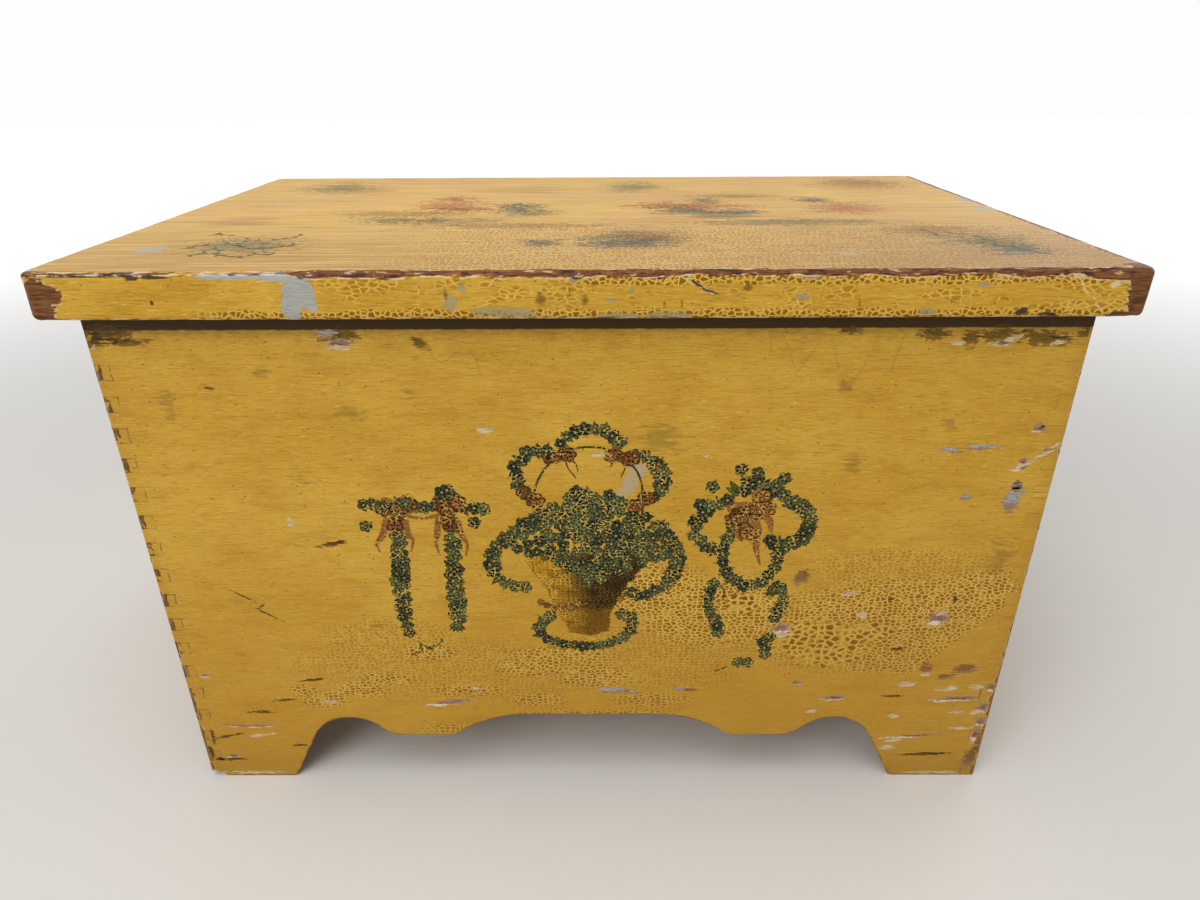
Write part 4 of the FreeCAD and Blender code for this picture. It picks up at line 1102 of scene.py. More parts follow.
LID_KNOCKS = [
    (661, 273, 11, 7, 1.3), (36, 300, 12, 24, 0.9), (1140, 300, 9, 26, 1.0), (1020, 313, 9, 6, 0.8),
    (1046, 317, 14, 4, 0.7), (513, 272, 12, 5, 0.5), (563, 273, 14, 5, 0.5), (300, 271, 20, 5, 0.5),
    (110, 275, 40, 5, 0.5), (730, 267, 20, 6, 0.6), (640, 320, 30, 4, 0.6), (500, 318, 30, 4, 0.6),
    (930, 314, 14, 5, 0.5), (1100, 270, 26, 6, 0.6),
]


def lid_plank(node, low, high, front, material):
    """A plank of the lid: rounded outside, hairline round at the joint, its arrises knocked and rubbed."""
    piece = started(bpy.ops.mesh.primitive_cube_add, size=1, location=(low + high) / 2, scale=high - low)
    piece.name = node + "_painted"
    seam = high.y if front else low.y
    step = EDGE_STEP if front else PLANK_STEP

    def lies(edge, axis, level):
        return abs(middle_of(edge)[axis] - level) < TOUCH

    def is_outer(edge, level):
        return sharp(edge) and lies(edge, 2, level) and not lies(edge, 1, seam)

    bench = Bench(piece)
    if front:
        middle = (low.z + high.z) / 2
        bench.bevel(lambda edge: lies(edge, 1, low.y) and lies(edge, 2, middle), LID_CORNER, 8)
    for level in (high.z, low.z):
        bench.bevel(lambda edge: is_outer(edge, level), LID_ROUND, 5)
    bench.bevel(lambda edge: sharp(edge) and lies(edge, 1, seam), SEAM_ROUND, 2)
    bench.slice_across(0, low.x + LID_CORNER, high.x - LID_CORNER, step)
    bench.slice_across(1, low.y + LID_CORNER, high.y - LID_CORNER, DEPTH_STEP)
    bench.slice_across(2, low.z + LID_ROUND, high.z - LID_ROUND, step)
    bench.close()
    rub_edges(piece)
    store_zones(piece, LID_FACE, TOP_ZONES)
    store_zones(piece, LID_EDGE, EDGE_ZONES)
    if front:
        knock(piece)
    smooth(piece, 40)
    return finished(piece, "lid", material, "lid_paint", node)


def rub_edges(piece):
    """Wear the lid's outer edges down unevenly, deepest on the arris itself."""
    low = Vector((-LID_HALF_WIDTH, LID_FRONT, LID_BOTTOM))
    high = Vector((LID_HALF_WIDTH, LID_BACK, LID_TOP))
    middle = (low + high) / 2
    for corner in piece.data.vertices:
        place = corner.co
        nears = [1 - min(place[axis] - low[axis], high[axis] - place[axis]) / RUB_BAND for axis in range(3)]
        near = sorted(nears)[1]
        if near <= 0:
            continue
        rough = 0.5 + noise.fractal(place / RUB_LUMP, 1.0, 2.0, 3)
        fine = 0.5 + noise.noise(place / RUB_GRIT)
        inward = Vector([math.copysign(max(0.0, share), centre - here)
                         for share, centre, here in zip(nears, middle, place)])
        corner.co += inward.normalized() * near * RUB_DEPTH * max(0.0, rough + 0.5 * fine)


def knock(piece):
    """Press the knocks of the photograph into the lid's front edge."""
    for u, v, wide, tall, depth in LID_KNOCKS:
        place = LID_EDGE.lift(LID_EDGE.at(u, v))
        across, up = LID_EDGE.size(u, v, wide, tall)
        away_from_middle = math.copysign(1, place.z - (LID_TOP + LID_BOTTOM) / 2)
        for corner in piece.data.vertices:
            away = corner.co - place
            reach = math.hypot(away.x / across, away.z / up, away.y / up)
            if reach < 1:
                press = depth * MM * (1 - reach ** 2)
                corner.co.y += press * (0.8 + 0.4 * noise.noise(corner.co / CHIP_LUMP))
                corner.co.z -= 0.3 * press * away_from_middle


def eased(node, body, material, width):
    """A plain piece of bare pine with its arrises eased."""
    piece = merged_copy(node, node + "_eased")
    angle = math.radians(50)
    modified(piece, "BEVEL", width=width, segments=2, limit_method="ANGLE", angle_limit=angle)
    smooth(piece)
    return finished(piece, body, material, "bare_pine", node)


# The ornament: garlands of small five-petalled flowers, leaves, ribbon bows and a basket

def flat_shape(corners, radius):
    """A small flat disc with its top face up."""
    circle = {"vertices": corners, "radius": radius, "fill_type": "NGON"}
    bench = Bench(started(bpy.ops.mesh.primitive_circle_add, **circle))
    bench.pick_all()
    bpy.ops.mesh.extrude_region_move(TRANSFORM_OT_translate={"value": (0, 0, PETAL_THICK)})
    bpy.ops.mesh.select_all(action="SELECT")
    bpy.ops.mesh.normals_make_consistent(inside=False)
    return bench.close()


def taken(piece):
    """The vertices and faces of a small model, which is then cleared away."""
    points = [corner.co.copy() for corner in piece.data.vertices]
    faces = [tuple(face.vertices) for face in piece.data.polygons]
    mesh = piece.data
    bpy.data.objects.remove(piece)
    bpy.data.meshes.remove(mesh)
    return points, faces


def flower_shape():
    """Five overlapping round petals about a hub."""
    bench = Bench(flat_shape(9, PETAL))
    bench.pick_all()
    bpy.ops.transform.translate(value=(PETAL_REACH, 0, 0))
    bpy.ops.mesh.spin(steps=4, dupli=True, angle=math.radians(288), center=(0, 0, 0), axis=(0, 0, 1))
    return taken(bench.close())


def leaf_shape():
    """A pointed leaf that grows from the origin along X."""
    piece = flat_shape(8, 0.5)
    bench = Bench(piece)
    bench.pick_all()
    bpy.ops.transform.resize(value=(LEAF_LENGTH, LEAF_WIDTH, 1))
    bpy.ops.transform.translate(value=(LEAF_LENGTH / 2, 0, 0))
    bench.close()
    for corner in piece.data.vertices:
        corner.co.y *= 1.25 - corner.co.x / LEAF_LENGTH
    return taken(piece)


def scatter(name, face, shape, places):
    """Copies of one shape laid on a face. Each place is (across, up), a turn, a scale and a height.

    Each corner stores the tone of its copy and how far out in the shape it lies."""
    points, faces = shape
    reaches = [math.hypot(point.x, point.y) for point in points]
    furthest = max(reaches)
    tones = random.Random(name)
    all_points = []
    all_faces = []
    tone_values = []
    for place, turn, scale, height in places:
        start = len(all_points)
        tone_values += [tones.random()] * len(points)
        cosine, sine = math.cos(turn) * scale, math.sin(turn) * scale
        for point in points:
            across = place[0] + point.x * cosine - point.y * sine
            up = place[1] + point.x * sine + point.y * cosine
            all_points.append(face.lift((across, up), height + point.z - SUNK))
        all_faces += [tuple(start + index for index in corners) for corners in faces]
    piece = laid(name, all_points, all_faces)
    store(piece, "tone", tone_values)
    store(piece, "reach", [reach / furthest for reach in reaches] * len(places))
    return piece


def laid(name, points, faces):
    """A piece of ornament from its points and faces, its normals turned outwards."""
    mesh = bpy.data.meshes.new(name)
    mesh.from_pydata(points, [], faces)
    mesh.update()
    piece = new_piece(name, mesh)
    bench = Bench(piece)
    bench.pick_all()
    bpy.ops.mesh.normals_make_consistent(inside=False)
    return bench.close()


def smooth_path(face, pixels, steps=10):
    """An even path on a face through points given as pixels."""
    knots = [face.at(u, v) for u, v in pixels]
    knots = [2 * knots[0] - knots[1], *knots, 2 * knots[-1] - knots[-2]]
    path = []
    for before, start, end, after in zip(knots, knots[1:], knots[2:], knots[3:]):
        for step in range(steps):
            t = step / steps
            pull = (end - before) * t + (2 * before - 5 * start + 4 * end - after) * t ** 2
            path.append(start + 0.5 * (pull + (3 * start - before - 3 * end + after) * t ** 3))
    path.append(knots[-2])
    return path


def between(values, share):
    """The value at a share of the way through an even list."""
    place = share * (len(values) - 1)
    low = min(int(place), len(values) - 2)
    return values[low] + (values[low + 1] - values[low]) * (place - low)


def strip(face, path, widths, height):
    """A flat band along a path, as points and faces; widths are its half widths from start to end."""
    points = []
    for index, here in enumerate(path):
        ahead = path[min(index + 1, len(path) - 1)] - path[max(index - 1, 0)]
        side = Vector((-ahead.y, ahead.x)).normalized()
        half = between(widths, index / (len(path) - 1))
        for out, up in ((-half, -SUNK), (half, -SUNK), (half, RIBBON_THICK), (-half, RIBBON_THICK)):
            points.append(face.lift(here + side * out, height + up))
    faces = []
    for start in range(0, len(points) - 4, 4):
        for corner in range(4):
            after = (corner + 1) % 4
            faces.append((start + corner, start + after, start + 4 + after, start + 4 + corner))
    faces.append((3, 2, 1, 0))
    faces.append(tuple(range(len(points) - 4, len(points))))
    return points, faces


def joined_strips(name, face, strips):
    """One piece from several bands."""
    all_points = []
    all_faces = []
    for path, widths, height in strips:
        points, faces = strip(face, path, widths, height)
        start = len(all_points)
        all_points += points
        all_faces += [tuple(start + index for index in corners) for corners in faces]
    return laid(name, all_points, all_faces)


class Posy:
    """A group of ornament: it gathers flowers, leaves and ribbons, then lays each kind as one piece."""

    def __init__(self, face, seed):
        self.face = face
        self.random = random.Random(seed)
        self.flowers = []
        self.leaves = []
        self.ruffles = []
        self.ribbons = []
        self.stems = []

    def flower(self, place):
        turn = self.random.uniform(0, math.tau)
        height = FLOWER_HEIGHT + self.random.uniform(0, 0.05) * MM
        self.flowers.append((place, turn, self.random.uniform(0.85, 1.12), height))

    def leaf(self, place, turn, scale=1.0):
        height = FOLIAGE_HEIGHT + self.random.uniform(0, 0.03) * MM
        self.leaves.append((place, turn, scale, height))

    def garland(self, half_widths, *pixels):
        """Flowers packed along a path in one or two rows, with leaves that stick out between them."""
        path = smooth_path(self.face, pixels)
        travelled = FLOWER_STEP
        side = 1
        for index in range(1, len(path)):
            here = path[index]
            ahead = here - path[index - 1]
            travelled += ahead.length
            half = between(half_widths, index / (len(path) - 1)) * MM
            rows = 2 if half > WIDE_GARLAND else 1
            if travelled < FLOWER_STEP / rows:
                continue
            travelled = 0.0
            side = -side
            across = Vector((-ahead.y, ahead.x)).normalized()
            out = side * max(0.0, half - PETAL_REACH - PETAL / 2) + self.random.uniform(-0.4, 0.4) * MM
            self.flower(here + across * out)
            heading = math.atan2(ahead.y, ahead.x)
            for lean in (-1, 1):
                turn = heading + lean * self.random.uniform(0.9, 1.9)
                self.leaf(here + across * lean * half * 0.35, turn, self.random.uniform(0.6, 0.95))

    def heap(self, outline):
        """Flowers heaped inside an outline of pixels, with leaves between and round them."""
        corners = [self.face.at(u, v) for u, v in outline]
        (left, low), (right, high) = ([end(corner[axis] for corner in corners) for axis in (0, 1)]
                                      for end in (min, max))
        placed = []
        for _ in range(HEAP_TRIES):
            spot = Vector((self.random.uniform(left, right), self.random.uniform(low, high)))
            if not inside(spot, corners) or any((spot - other).length < HEAP_STEP for other in placed):
                continue
            placed.append(spot)
            self.flower(spot)
            self.leaf(spot, self.random.uniform(0, math.tau))

    def sprig(self, spread, *pixels):
        """A thin stem with leaves to both sides."""
        path = smooth_path(self.face, pixels)
        self.stems.append((path, (0.35 * MM, 0.25 * MM), FOLIAGE_HEIGHT))
        side = 1
        for index in range(4, len(path), 5):
            ahead = path[index] - path[index - 1]
            side = -side
            self.leaf(path[index], math.atan2(ahead.y, ahead.x) + side * 0.9, spread * 0.8)

    def stem(self, half, *pixels):
        self.stems.append((smooth_path(self.face, pixels), (half * MM, half * MM), FOLIAGE_HEIGHT))

    def ribbon(self, half_widths, *pixels):
        height = RIBBON_HEIGHT + RIBBON_STEP * len(self.ribbons)
        self.ribbons.append((smooth_path(self.face, pixels), [half * MM for half in half_widths], height))

    def ruffle(self, u, v, scale):
        height = RIBBON_HEIGHT + RIBBON_STEP * len(self.ruffles)
        self.ruffles.append((self.face.at(u, v), self.random.uniform(0, math.tau), scale, height))

    def bow(self, u, v, size, tilt=0.0):
        """A crumpled bow about a pixel: ruffles in two lobes and a knot, and two loops; size in pixels."""
        for across in (-0.9, -0.6, -0.3, 0.0, 0.3, 0.6, 0.9):
            up = self.random.uniform(-0.35, 0.35) * abs(across) + 0.1
            shape = [(across * self.random.uniform(0.85, 1.1), up)]
            scale = (0.75 + 0.45 * abs(across)) * self.random.uniform(0.85, 1.1)
            self.ruffle(*turned(shape, u, v, size, tilt)[0], scale)
        for turn in (-164, -28):
            loop = [(0, 0), (0.5, -0.3), (1, -0.16), (0.98, 0.14), (0.5, 0.2), (0, 0)]
            self.ribbon((0.4, 0.9, 1.1, 0.9, 0.4), *turned(loop, u, v, size, turn + tilt))

    def lay(self, name, body, finishes, slot):
        """Turn what was gathered into pieces."""

        def spread(kind, shape, places):
            if places:
                wholes[kind] = scatter(f"{name}_{kind}", self.face, shape, places)

        def copies(grown, height):
            return [(place, turn, scale * grown, height) for place, turn, scale, _ in self.flowers]

        wholes = {}
        under = [(place, turn, scale * CREASE_GROWTH, height - RIBBON_STEP / 2)
                 for place, turn, scale, height in self.ruffles]
        spread("leaves", leaf_shape(), self.leaves)
        spread("shadows", flower_shape(), copies(OUTLINE_GROWTH, FOLIAGE_HEIGHT))
        spread("petals", flower_shape(), self.flowers)
        spread("hearts", taken(flat_shape(6, HEART)), copies(1, HEART_HEIGHT))
        spread("creases", flower_shape(), under)
        spread("ruffles", flower_shape(), self.ruffles)
        for kind, strips in (("ribbons", self.ribbons), ("stems", self.stems)):
            if strips:
                wholes[kind] = joined_strips(f"{name}_{kind}", self.face, strips)
        for kind, piece in wholes.items():
            finished(piece, body, finishes[kind], slot)


def turned(shape, u, v, size, tilt):
    """A small drawing set about a pixel, tilted by degrees."""
    cosine, sine = math.cos(math.radians(tilt)) * size, math.sin(math.radians(tilt)) * size
    return [(u + x * cosine - y * sine, v + x * sine + y * cosine) for x, y in shape]


def inside(point, corners):
    """Whether a point lies inside an outline."""
    within = False
    for start, end in zip(corners, corners[1:] + corners[:1]):
        if (start.y > point.y) != (end.y > point.y):
            crossing = start.x + (point.y - start.y) / (end.y - start.y) * (end.x - start.x)
            within ^= point.x < crossing
    return within


def left_swag():
    posy = Posy(BOX_FRONT, 11)
    posy.garland((2.2, 3.0, 2.6), (362, 505), (378, 504), (392, 508), (404, 498))
    posy.garland((1.5, 1.5), (366, 526), (367, 527))
    posy.garland((2.0, 2.2, 2.6, 2.6), (404, 503), (422, 508), (440, 503), (442, 489), (450, 492),
                 (460, 508), (474, 508), (486, 510))
    posy.garland((1.2, 1.2), (474, 522), (475, 528))
    posy.garland((3.4, 4.6, 5.6, 4.6, 2.6), (396, 516), (399, 546), (401, 585), (405, 617), (411, 636))
    posy.garland((3.4, 4.6, 5.4, 5.0, 3.0), (448, 517), (452, 541), (454, 572), (457, 600), (458, 618),
                 (457, 628))
    for bow in ((397, 505, 15), (447, 503, 13), (397, 518, 9, 90), (448, 517, 9, 90)):
        posy.bow(*bow)
    posy.ribbon((1.6, 2.2, 1.0, 0.4), (386, 518), (383, 534), (377, 544), (380, 552))
    posy.ribbon((1.4, 2.0, 0.9, 0.4), (406, 520), (408, 534), (413, 540), (411, 552))
    posy.ribbon((1.6, 2.0, 0.9, 0.4), (438, 518), (437, 534), (436, 543), (439, 553))
    posy.ribbon((1.4, 2.0, 0.9, 0.4), (458, 520), (461, 534), (467, 544), (466, 556))
    posy.ribbon((1.2, 0.9, 1.2), (398, 514), (420, 518), (440, 515))
    posy.sprig(0.8, (416, 640), (428, 648), (434, 647), (443, 641))
    posy.sprig(0.5, (411, 654), (416, 653), (423, 650))
    for turn in (-2.4, -2.0, -1.57, -1.1, -0.7):
        posy.leaf(BOX_FRONT.at(457, 624), turn, 1.3)
    return posy


HEAP = [
    (544, 512), (569, 496), (579, 488), (592, 496), (614, 493), (627, 509), (655, 518), (671, 538),
    (678, 553), (640, 563), (608, 577), (588, 583), (566, 565), (544, 556), (516, 553), (508, 538),
    (525, 521),
]
BASKET = [
    (522, 556), (560, 552), (600, 552), (652, 554), (641, 572), (627, 588), (617, 603), (611, 614),
    (610, 632), (590, 637), (568, 634), (563, 622), (555, 608), (545, 591), (533, 573),
]


def basket_posy():
    posy = Posy(BOX_FRONT, 23)
    posy.garland((3.0, 3.6, 3.0), (560, 445), (569, 435), (582, 430), (596, 429), (609, 433), (620, 443))
    posy.garland((2.4, 4.2, 4.2, 2.8), (548, 451), (534, 451), (521, 458), (515, 471), (518, 484),
                 (525, 492))
    posy.garland((2.4, 4.2, 4.6, 3.4), (633, 455), (646, 457), (658, 466), (663, 479), (659, 492),
                 (653, 500))
    posy.heap(HEAP)
    posy.garland((4.4, 4.4, 4.4, 3.6, 2.4), (517, 531), (501, 542), (492, 557), (495, 575), (509, 585),
                 (529, 587))
    posy.garland((4.4, 4.4, 4.2, 3.4, 2.4), (656, 522), (671, 541), (678, 561), (668, 582), (652, 592),
                 (637, 596), (628, 590))
    posy.garland((3.4, 3.4, 2.8, 2.6, 2.8, 3.2, 3.2), (552, 616), (541, 623), (540, 633), (552, 641),
                 (570, 645), (592, 646), (613, 642), (629, 632), (633, 621), (622, 614))
    posy.stem(0.65, (533, 514), (536, 485), (550, 463), (569, 450), (592, 447), (612, 451), (630, 463),
              (640, 478), (643, 499), (642, 516))
    posy.stem(0.4, (565, 458), (568, 468), (576, 478))
    posy.stem(0.4, (568, 458), (575, 463), (578, 470))
    posy.stem(0.4, (618, 459), (613, 463), (610, 467))
    posy.stem(0.4, (625, 468), (623, 473), (620, 478))
    for bow in ((559, 455, 11, -20), (622, 456, 11, 20), (530, 496, 9, 40), (640, 501, 9, -40)):
        posy.bow(*bow)
    for u, v in ((541, 602), (547, 605), (555, 608), (563, 605), (571, 607), (580, 604), (620, 598),
                 (625, 615), (631, 624)):
        posy.ruffle(u, v, 0.55)
    posy.ribbon((1.0, 0.8, 0.5), (538, 603), (560, 606), (588, 603))
    return posy


def wreath():
    posy = Posy(BOX_FRONT, 37)
    posy.garland((3.2, 4.3, 4.3, 4.0, 3.4), (729, 500), (716, 504), (704, 513), (696, 524), (695, 536),
                 (704, 545), (719, 553))
    posy.garland((2.6, 2.6), (712, 487), (717, 489))
    posy.garland((1.4, 1.4), (700, 504), (704, 504))
    posy.garland((1.8, 1.8), (741, 470), (745, 471))
    posy.garland((1.6, 1.6), (757, 473), (763, 475))
    posy.garland((3.4, 4.4, 4.4, 3.2), (744, 492), (750, 482), (762, 485), (772, 492), (784, 478))
    posy.garland((4.0, 4.3, 4.4, 4.4, 4.3, 3.2), (774, 489), (786, 499), (797, 504), (806, 510), (810, 519),
                 (807, 531), (800, 540), (790, 544), (778, 543), (766, 540))
    posy.garland((3.0, 2.8, 3.0, 3.4, 3.6, 3.6, 3.4), (733, 530), (726, 541), (722, 556), (727, 572),
                 (738, 583), (751, 586), (764, 580), (774, 568), (779, 555), (775, 543))
    posy.garland((1.6, 2.8, 3.4, 3.0, 2.4), (714, 582), (709, 594), (707, 606), (714, 617), (719, 634))
    posy.garland((2.0, 3.2, 2.8, 1.8), (777, 584), (783, 594), (784, 603), (777, 612), (774, 622))
    posy.garland((2.2, 2.8, 2.8), (770, 636), (762, 643), (766, 651), (760, 659))
    posy.garland((1.2, 1.2), (747, 662), (750, 663))
    posy.garland((1.2, 1.2), (737, 662), (739, 662))
    posy.stem(0.4, (714, 671), (721, 669), (727, 666))
    posy.stem(0.5, (717, 579), (724, 592), (722, 601))
    for u, v, turn in ((773, 585, -1.9), (776, 585, -1.75), (783, 583, -1.5), (739, 493, 2.2),
                       (740, 495, 2.6)):
        posy.leaf(BOX_FRONT.at(u, v), turn, 1.9)
    for bow in ((751, 512, 22), (753, 504, 16, -30), (744, 524, 12, 60)):
        posy.bow(*bow)
    posy.ribbon((2.0, 2.6, 1.4, 0.6), (748, 512), (741, 524), (737, 534), (742, 541))
    posy.ribbon((2.2, 2.8, 1.8, 0.4), (752, 512), (757, 530), (756, 548), (760, 565))
    posy.ribbon((1.6, 2.4, 0.8), (758, 512), (769, 520), (771, 532))
    return posy


def basket_body():
    """The basket's flat body. Its corners store 1 on the outline and 0 a little way in."""
    outline = [BOX_FRONT.at(u, v) for u, v in BASKET]
    count = len(outline)
    points = [BOX_FRONT.lift(corner, height) for height in (-SUNK, BASKET_HEIGHT) for corner in outline]
    faces = [tuple(range(count)), tuple(range(2 * count - 1, count - 1, -1))]
    for index in range(count):
        after = (index + 1) % count
        faces.append((index, after, count + after, count + index))
    plate = laid("flower_basket", points, faces)
    bench = Bench(plate)
    bench.pick("faces", lambda face: face.normal.y < -0.9)
    bpy.ops.mesh.inset(thickness=BASKET_RIM)
    bench.close()
    values = []
    for corner in plate.data.vertices:
        spot = Vector((corner.co.x, corner.co.z))
        values.append(1.0 if min((spot - rim).length for rim in outline) < TOUCH else 0.0)
    store(plate, "reach", values)
    return plate


def basket_weave():
    """Basket cane: amber on its lit side, dark brown on the other, with strokes and rubbed edges."""
    finish = Finish("basket_cane", OCHRE, 0.5, specular=0.08)
    wobble = finish.noise((8,) * 3) - 0.5
    lit = BOX_FRONT.at(548, 600).x
    shaded = BOX_FRONT.at(594, 600).x
    waist = BOX_FRONT.at(600, 606).y
    side = (finish.x + wobble * (16 * MM)).rise(lit, shaded)
    foot = (finish.z + wobble * (6 * MM)).rise(waist, waist - 4 * MM)
    dark = finish.mixed(foot * 0.85, colour("#261704"), colour("#7A5410"))
    finish.colour = finish.mixed(side, colour("#B07E10"), dark)
    strokes = finish.noise((1.2, FLAT, 6), 3.0, 0.6)
    finish.lay(strokes.rise(0.48, 0.58) * 0.6, colour("#4E340C"), lift=-0.04)
    rows = finish.noise((9, FLAT, 1.3), 3.0, 0.6)
    finish.lay(rows.rise(0.52, 0.62) * 0.5, colour("#2C1B08"))
    torn = finish.shaken(finish.flat(BOX_FRONT), (4, 3, FLAT), 1.6)
    border = finish.cells(torn, (3.0, 2.0, FLAT))
    patches = finish.noise((12, 12, 8)).rise(0.45, 0.58)
    net = border.rise(0.13, 0.05) * (patches * 0.7 + 0.25) * (1 - side * 0.85)
    finish.lay(net, RIDGE, 0.4, 0.1)
    faded = finish.stored("reach") + wobble * 1.6 + (rows - 0.5) * 1.4
    finish.cover = faded.rise(0.95, 0.5)
    return finish.done()


# The faint ornament on the lid

TWIGS = [
    [(180, 249), (195, 247), (209, 244)], [(209, 236), (219, 234), (229, 236)],
    [(215, 246), (218, 251), (221, 256)], [(186, 255), (196, 255), (206, 252)],
    [(230, 246), (240, 244), (249, 238)], [(258, 238), (262, 244), (264, 253)],
    [(267, 239), (284, 239), (303, 235)], [(264, 247), (280, 247), (295, 244)],
    [(252, 252), (262, 255), (273, 254)], [(211, 253), (230, 257), (249, 256)],
    [(222, 240), (240, 247), (262, 249)], [(944, 232), (975, 236), (1000, 243)],
    [(985, 243), (1012, 247), (1045, 254)], [(920, 228), (932, 233), (944, 236)],
    [(655, 211), (680, 209), (700, 211)], [(505, 206), (520, 204), (542, 211)],
]
FADED_GREEN = [
    (342, 188, 40, 6), (445, 221, 74, 4), (530, 213, 34, 4), (634, 187, 36, 6), (790, 222, 120, 4),
    (985, 240, 56, 7, 10), (1010, 247, 44, 7, 8), (395, 220, 60, 4), (240, 246, 66, 9), (620, 238, 60, 7),
]
FADED_SLATE = [
    (518, 208, 30, 6), (690, 211, 44, 4), (740, 212, 26, 4), (705, 201, 20, 3), (812, 200, 24, 3),
    (1020, 250, 36, 5, 6), (630, 244, 60, 5), (540, 243, 26, 4),
]
FADED_ROSE = [
    (450, 206, 40, 7), (470, 209, 44, 3), (455, 199, 22, 3), (660, 206, 40, 5), (845, 208, 44, 6),
    (700, 206, 60, 4),
]
FADED_UMBER = [
    (862, 184, 56, 7), (930, 230, 60, 6, 6), (520, 226, 110, 3), (735, 196, 60, 3), (650, 236, 50, 8),
    (400, 214, 90, 3),
]


def lid_twigs():
    """What can still be made out of the ornament on the lid: twigs with small leaves."""
    posy = Posy(LID_FACE, 51)
    for twig in TWIGS:
        posy.sprig(1.2, *twig)
    return posy


# The metal

def slotted_screws(node, body, material):
    """A round-headed slotted screw for each of a node's solids."""
    for index, (low, high) in enumerate(solids_of(node)):
        radius = (high.x - low.x) / 2
        x, _, z = (low + high) / 2
        seat = (x, high.y - HEAD_RISE, z)
        ball = {"segments": 24, "ring_count": 12, "radius": radius, "location": seat}
        piece = started(bpy.ops.mesh.primitive_uv_sphere_add, **ball)
        piece.name = f"{node}_{index + 1}"
        bench = Bench(piece)
        bench.pick_all()
        bpy.ops.transform.resize(value=(1, HEAD_RISE / radius, 1), center_override=seat)
        bench.close()
        slot = {"size": 1, "location": (x, high.y, z), "scale": (radius * 3, SLOT_DEPTH * 2, SLOT_WIDTH)}
        cut(piece, started(bpy.ops.mesh.primitive_cube_add, **slot))
        smooth(piece)
        finished(piece, body, material, "fastener_steel", *([node] if index == 0 else []))


def cut(piece, cutter):
    """Take the cutter's shape out of a piece, and the cutter away."""
    modified(piece, "BOOLEAN", operation="DIFFERENCE", object=cutter, solver="EXACT")
    bpy.data.objects.remove(cutter)


def solids_of(node):
    """The lowest and highest corners of each separate solid in a CAD node."""
    shape = bmesh.new()
    shape.from_mesh(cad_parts[node].data)
    bmesh.ops.remove_doubles(shape, verts=shape.verts, dist=WELD)
    left = set(shape.verts)
    boxes = []
    while left:
        group = [left.pop()]
        for corner in group:
            for edge in corner.link_edges:
                other = edge.other_vert(corner)
                if other in left:
                    left.remove(other)
                    group.append(other)
        places = [corner.co for corner in group]
        boxes.append([Vector([end(place[axis] for place in places) for axis in range(3)])
                      for end in (min, max)])
    shape.free()
    return sorted(boxes, key=lambda box: tuple(box[0]))


def coat_nodes(material, *nodes):
    """Give CAD nodes their finish."""
    for node in nodes:
        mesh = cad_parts[node].data
        mesh.materials.clear()
        mesh.materials.append(material)


# The broken finger at the foot of the left end

def break_left_foot(piece):
    """The lowest finger of the left end board is broken off at the front corner."""
    size = (BOARD * 2.2, BOARD * 1.4, 9 * MM)
    place = (-HALF_WIDTH, FRONT_FACE, 0)
    cutter = started(bpy.ops.mesh.primitive_cube_add, size=1, location=place, scale=size)
    bench = Bench(cutter)
    bench.pick_all()
    bpy.ops.mesh.subdivide(number_cuts=5)
    bench.close()
    for corner in cutter.data.vertices:
        corner.co += BREAK_ROUGHNESS * noise.noise_vector(corner.co / CHIP_LUMP)
    cut(piece, cutter)


# Stage

def stage():
    plane = started(bpy.ops.mesh.primitive_plane_add, size=14, location=(0, 0, 0))
    plane.name = "floor"
    finish = Finish("floor_paper", colour("#D9D7D3"), 0.8, specular=0.2)
    away = finish.node("ShaderNodeVectorMath", {"operation": "LENGTH"}, (finish.place,), "Value")
    faded = away.rise(0.55, 2.2)
    black, white = (0.0, 0.0, 0.0, 1.0), (1.0, 1.0, 1.0, 1.0)
    finish.lay(faded, black)
    finish.fill(finish.surface.inputs["Emission Color"], finish.mixed(faded, black, white))
    finish.surface.inputs["Emission Strength"].default_value = 1.0
    plane.data.materials.append(finish.done())
    world = bpy.data.worlds.new("studio")
    bpy.context.scene.world = world
    sky = Nodes(world)
    camera, glossy, passing = (sky.node("ShaderNodeLightPath", {}, (), f"Is {kind} Ray")
                               for kind in ("Camera", "Glossy", "Transmission"))
    background = sky.tree.nodes["Background"]
    background.inputs["Color"].default_value = (1.0, 0.985, 0.965, 1.0)
    seen = camera.most(glossy).most(passing)
    sky.fill(background.inputs["Strength"], seen * (1 - AMBIENT) + AMBIENT)
    softbox("overhead", (-0.2, -0.5, 2.0), (0, 0, 0.25), 1.6, 21)
    softbox("front_left", (-1.3, -2.0, 1.5), (0, 0, 0.2), 1.5, 27)
    softbox("back_right", (1.8, 1.8, 1.6), (0, 0, 0.2), 1.6, 12)


def softbox(name, place, aim, size, watts):
    data = bpy.data.lights.new(name, "AREA")
    data.shape = "SQUARE"
    data.size = size
    data.energy = watts
    lamp = bpy.data.objects.new(name, data)
    lamp.location = place
    lamp.rotation_euler = (Vector(aim) - Vector(place)).to_track_quat("-Z", "Y").to_euler()
    bpy.context.scene.collection.objects.link(lamp)


# Making

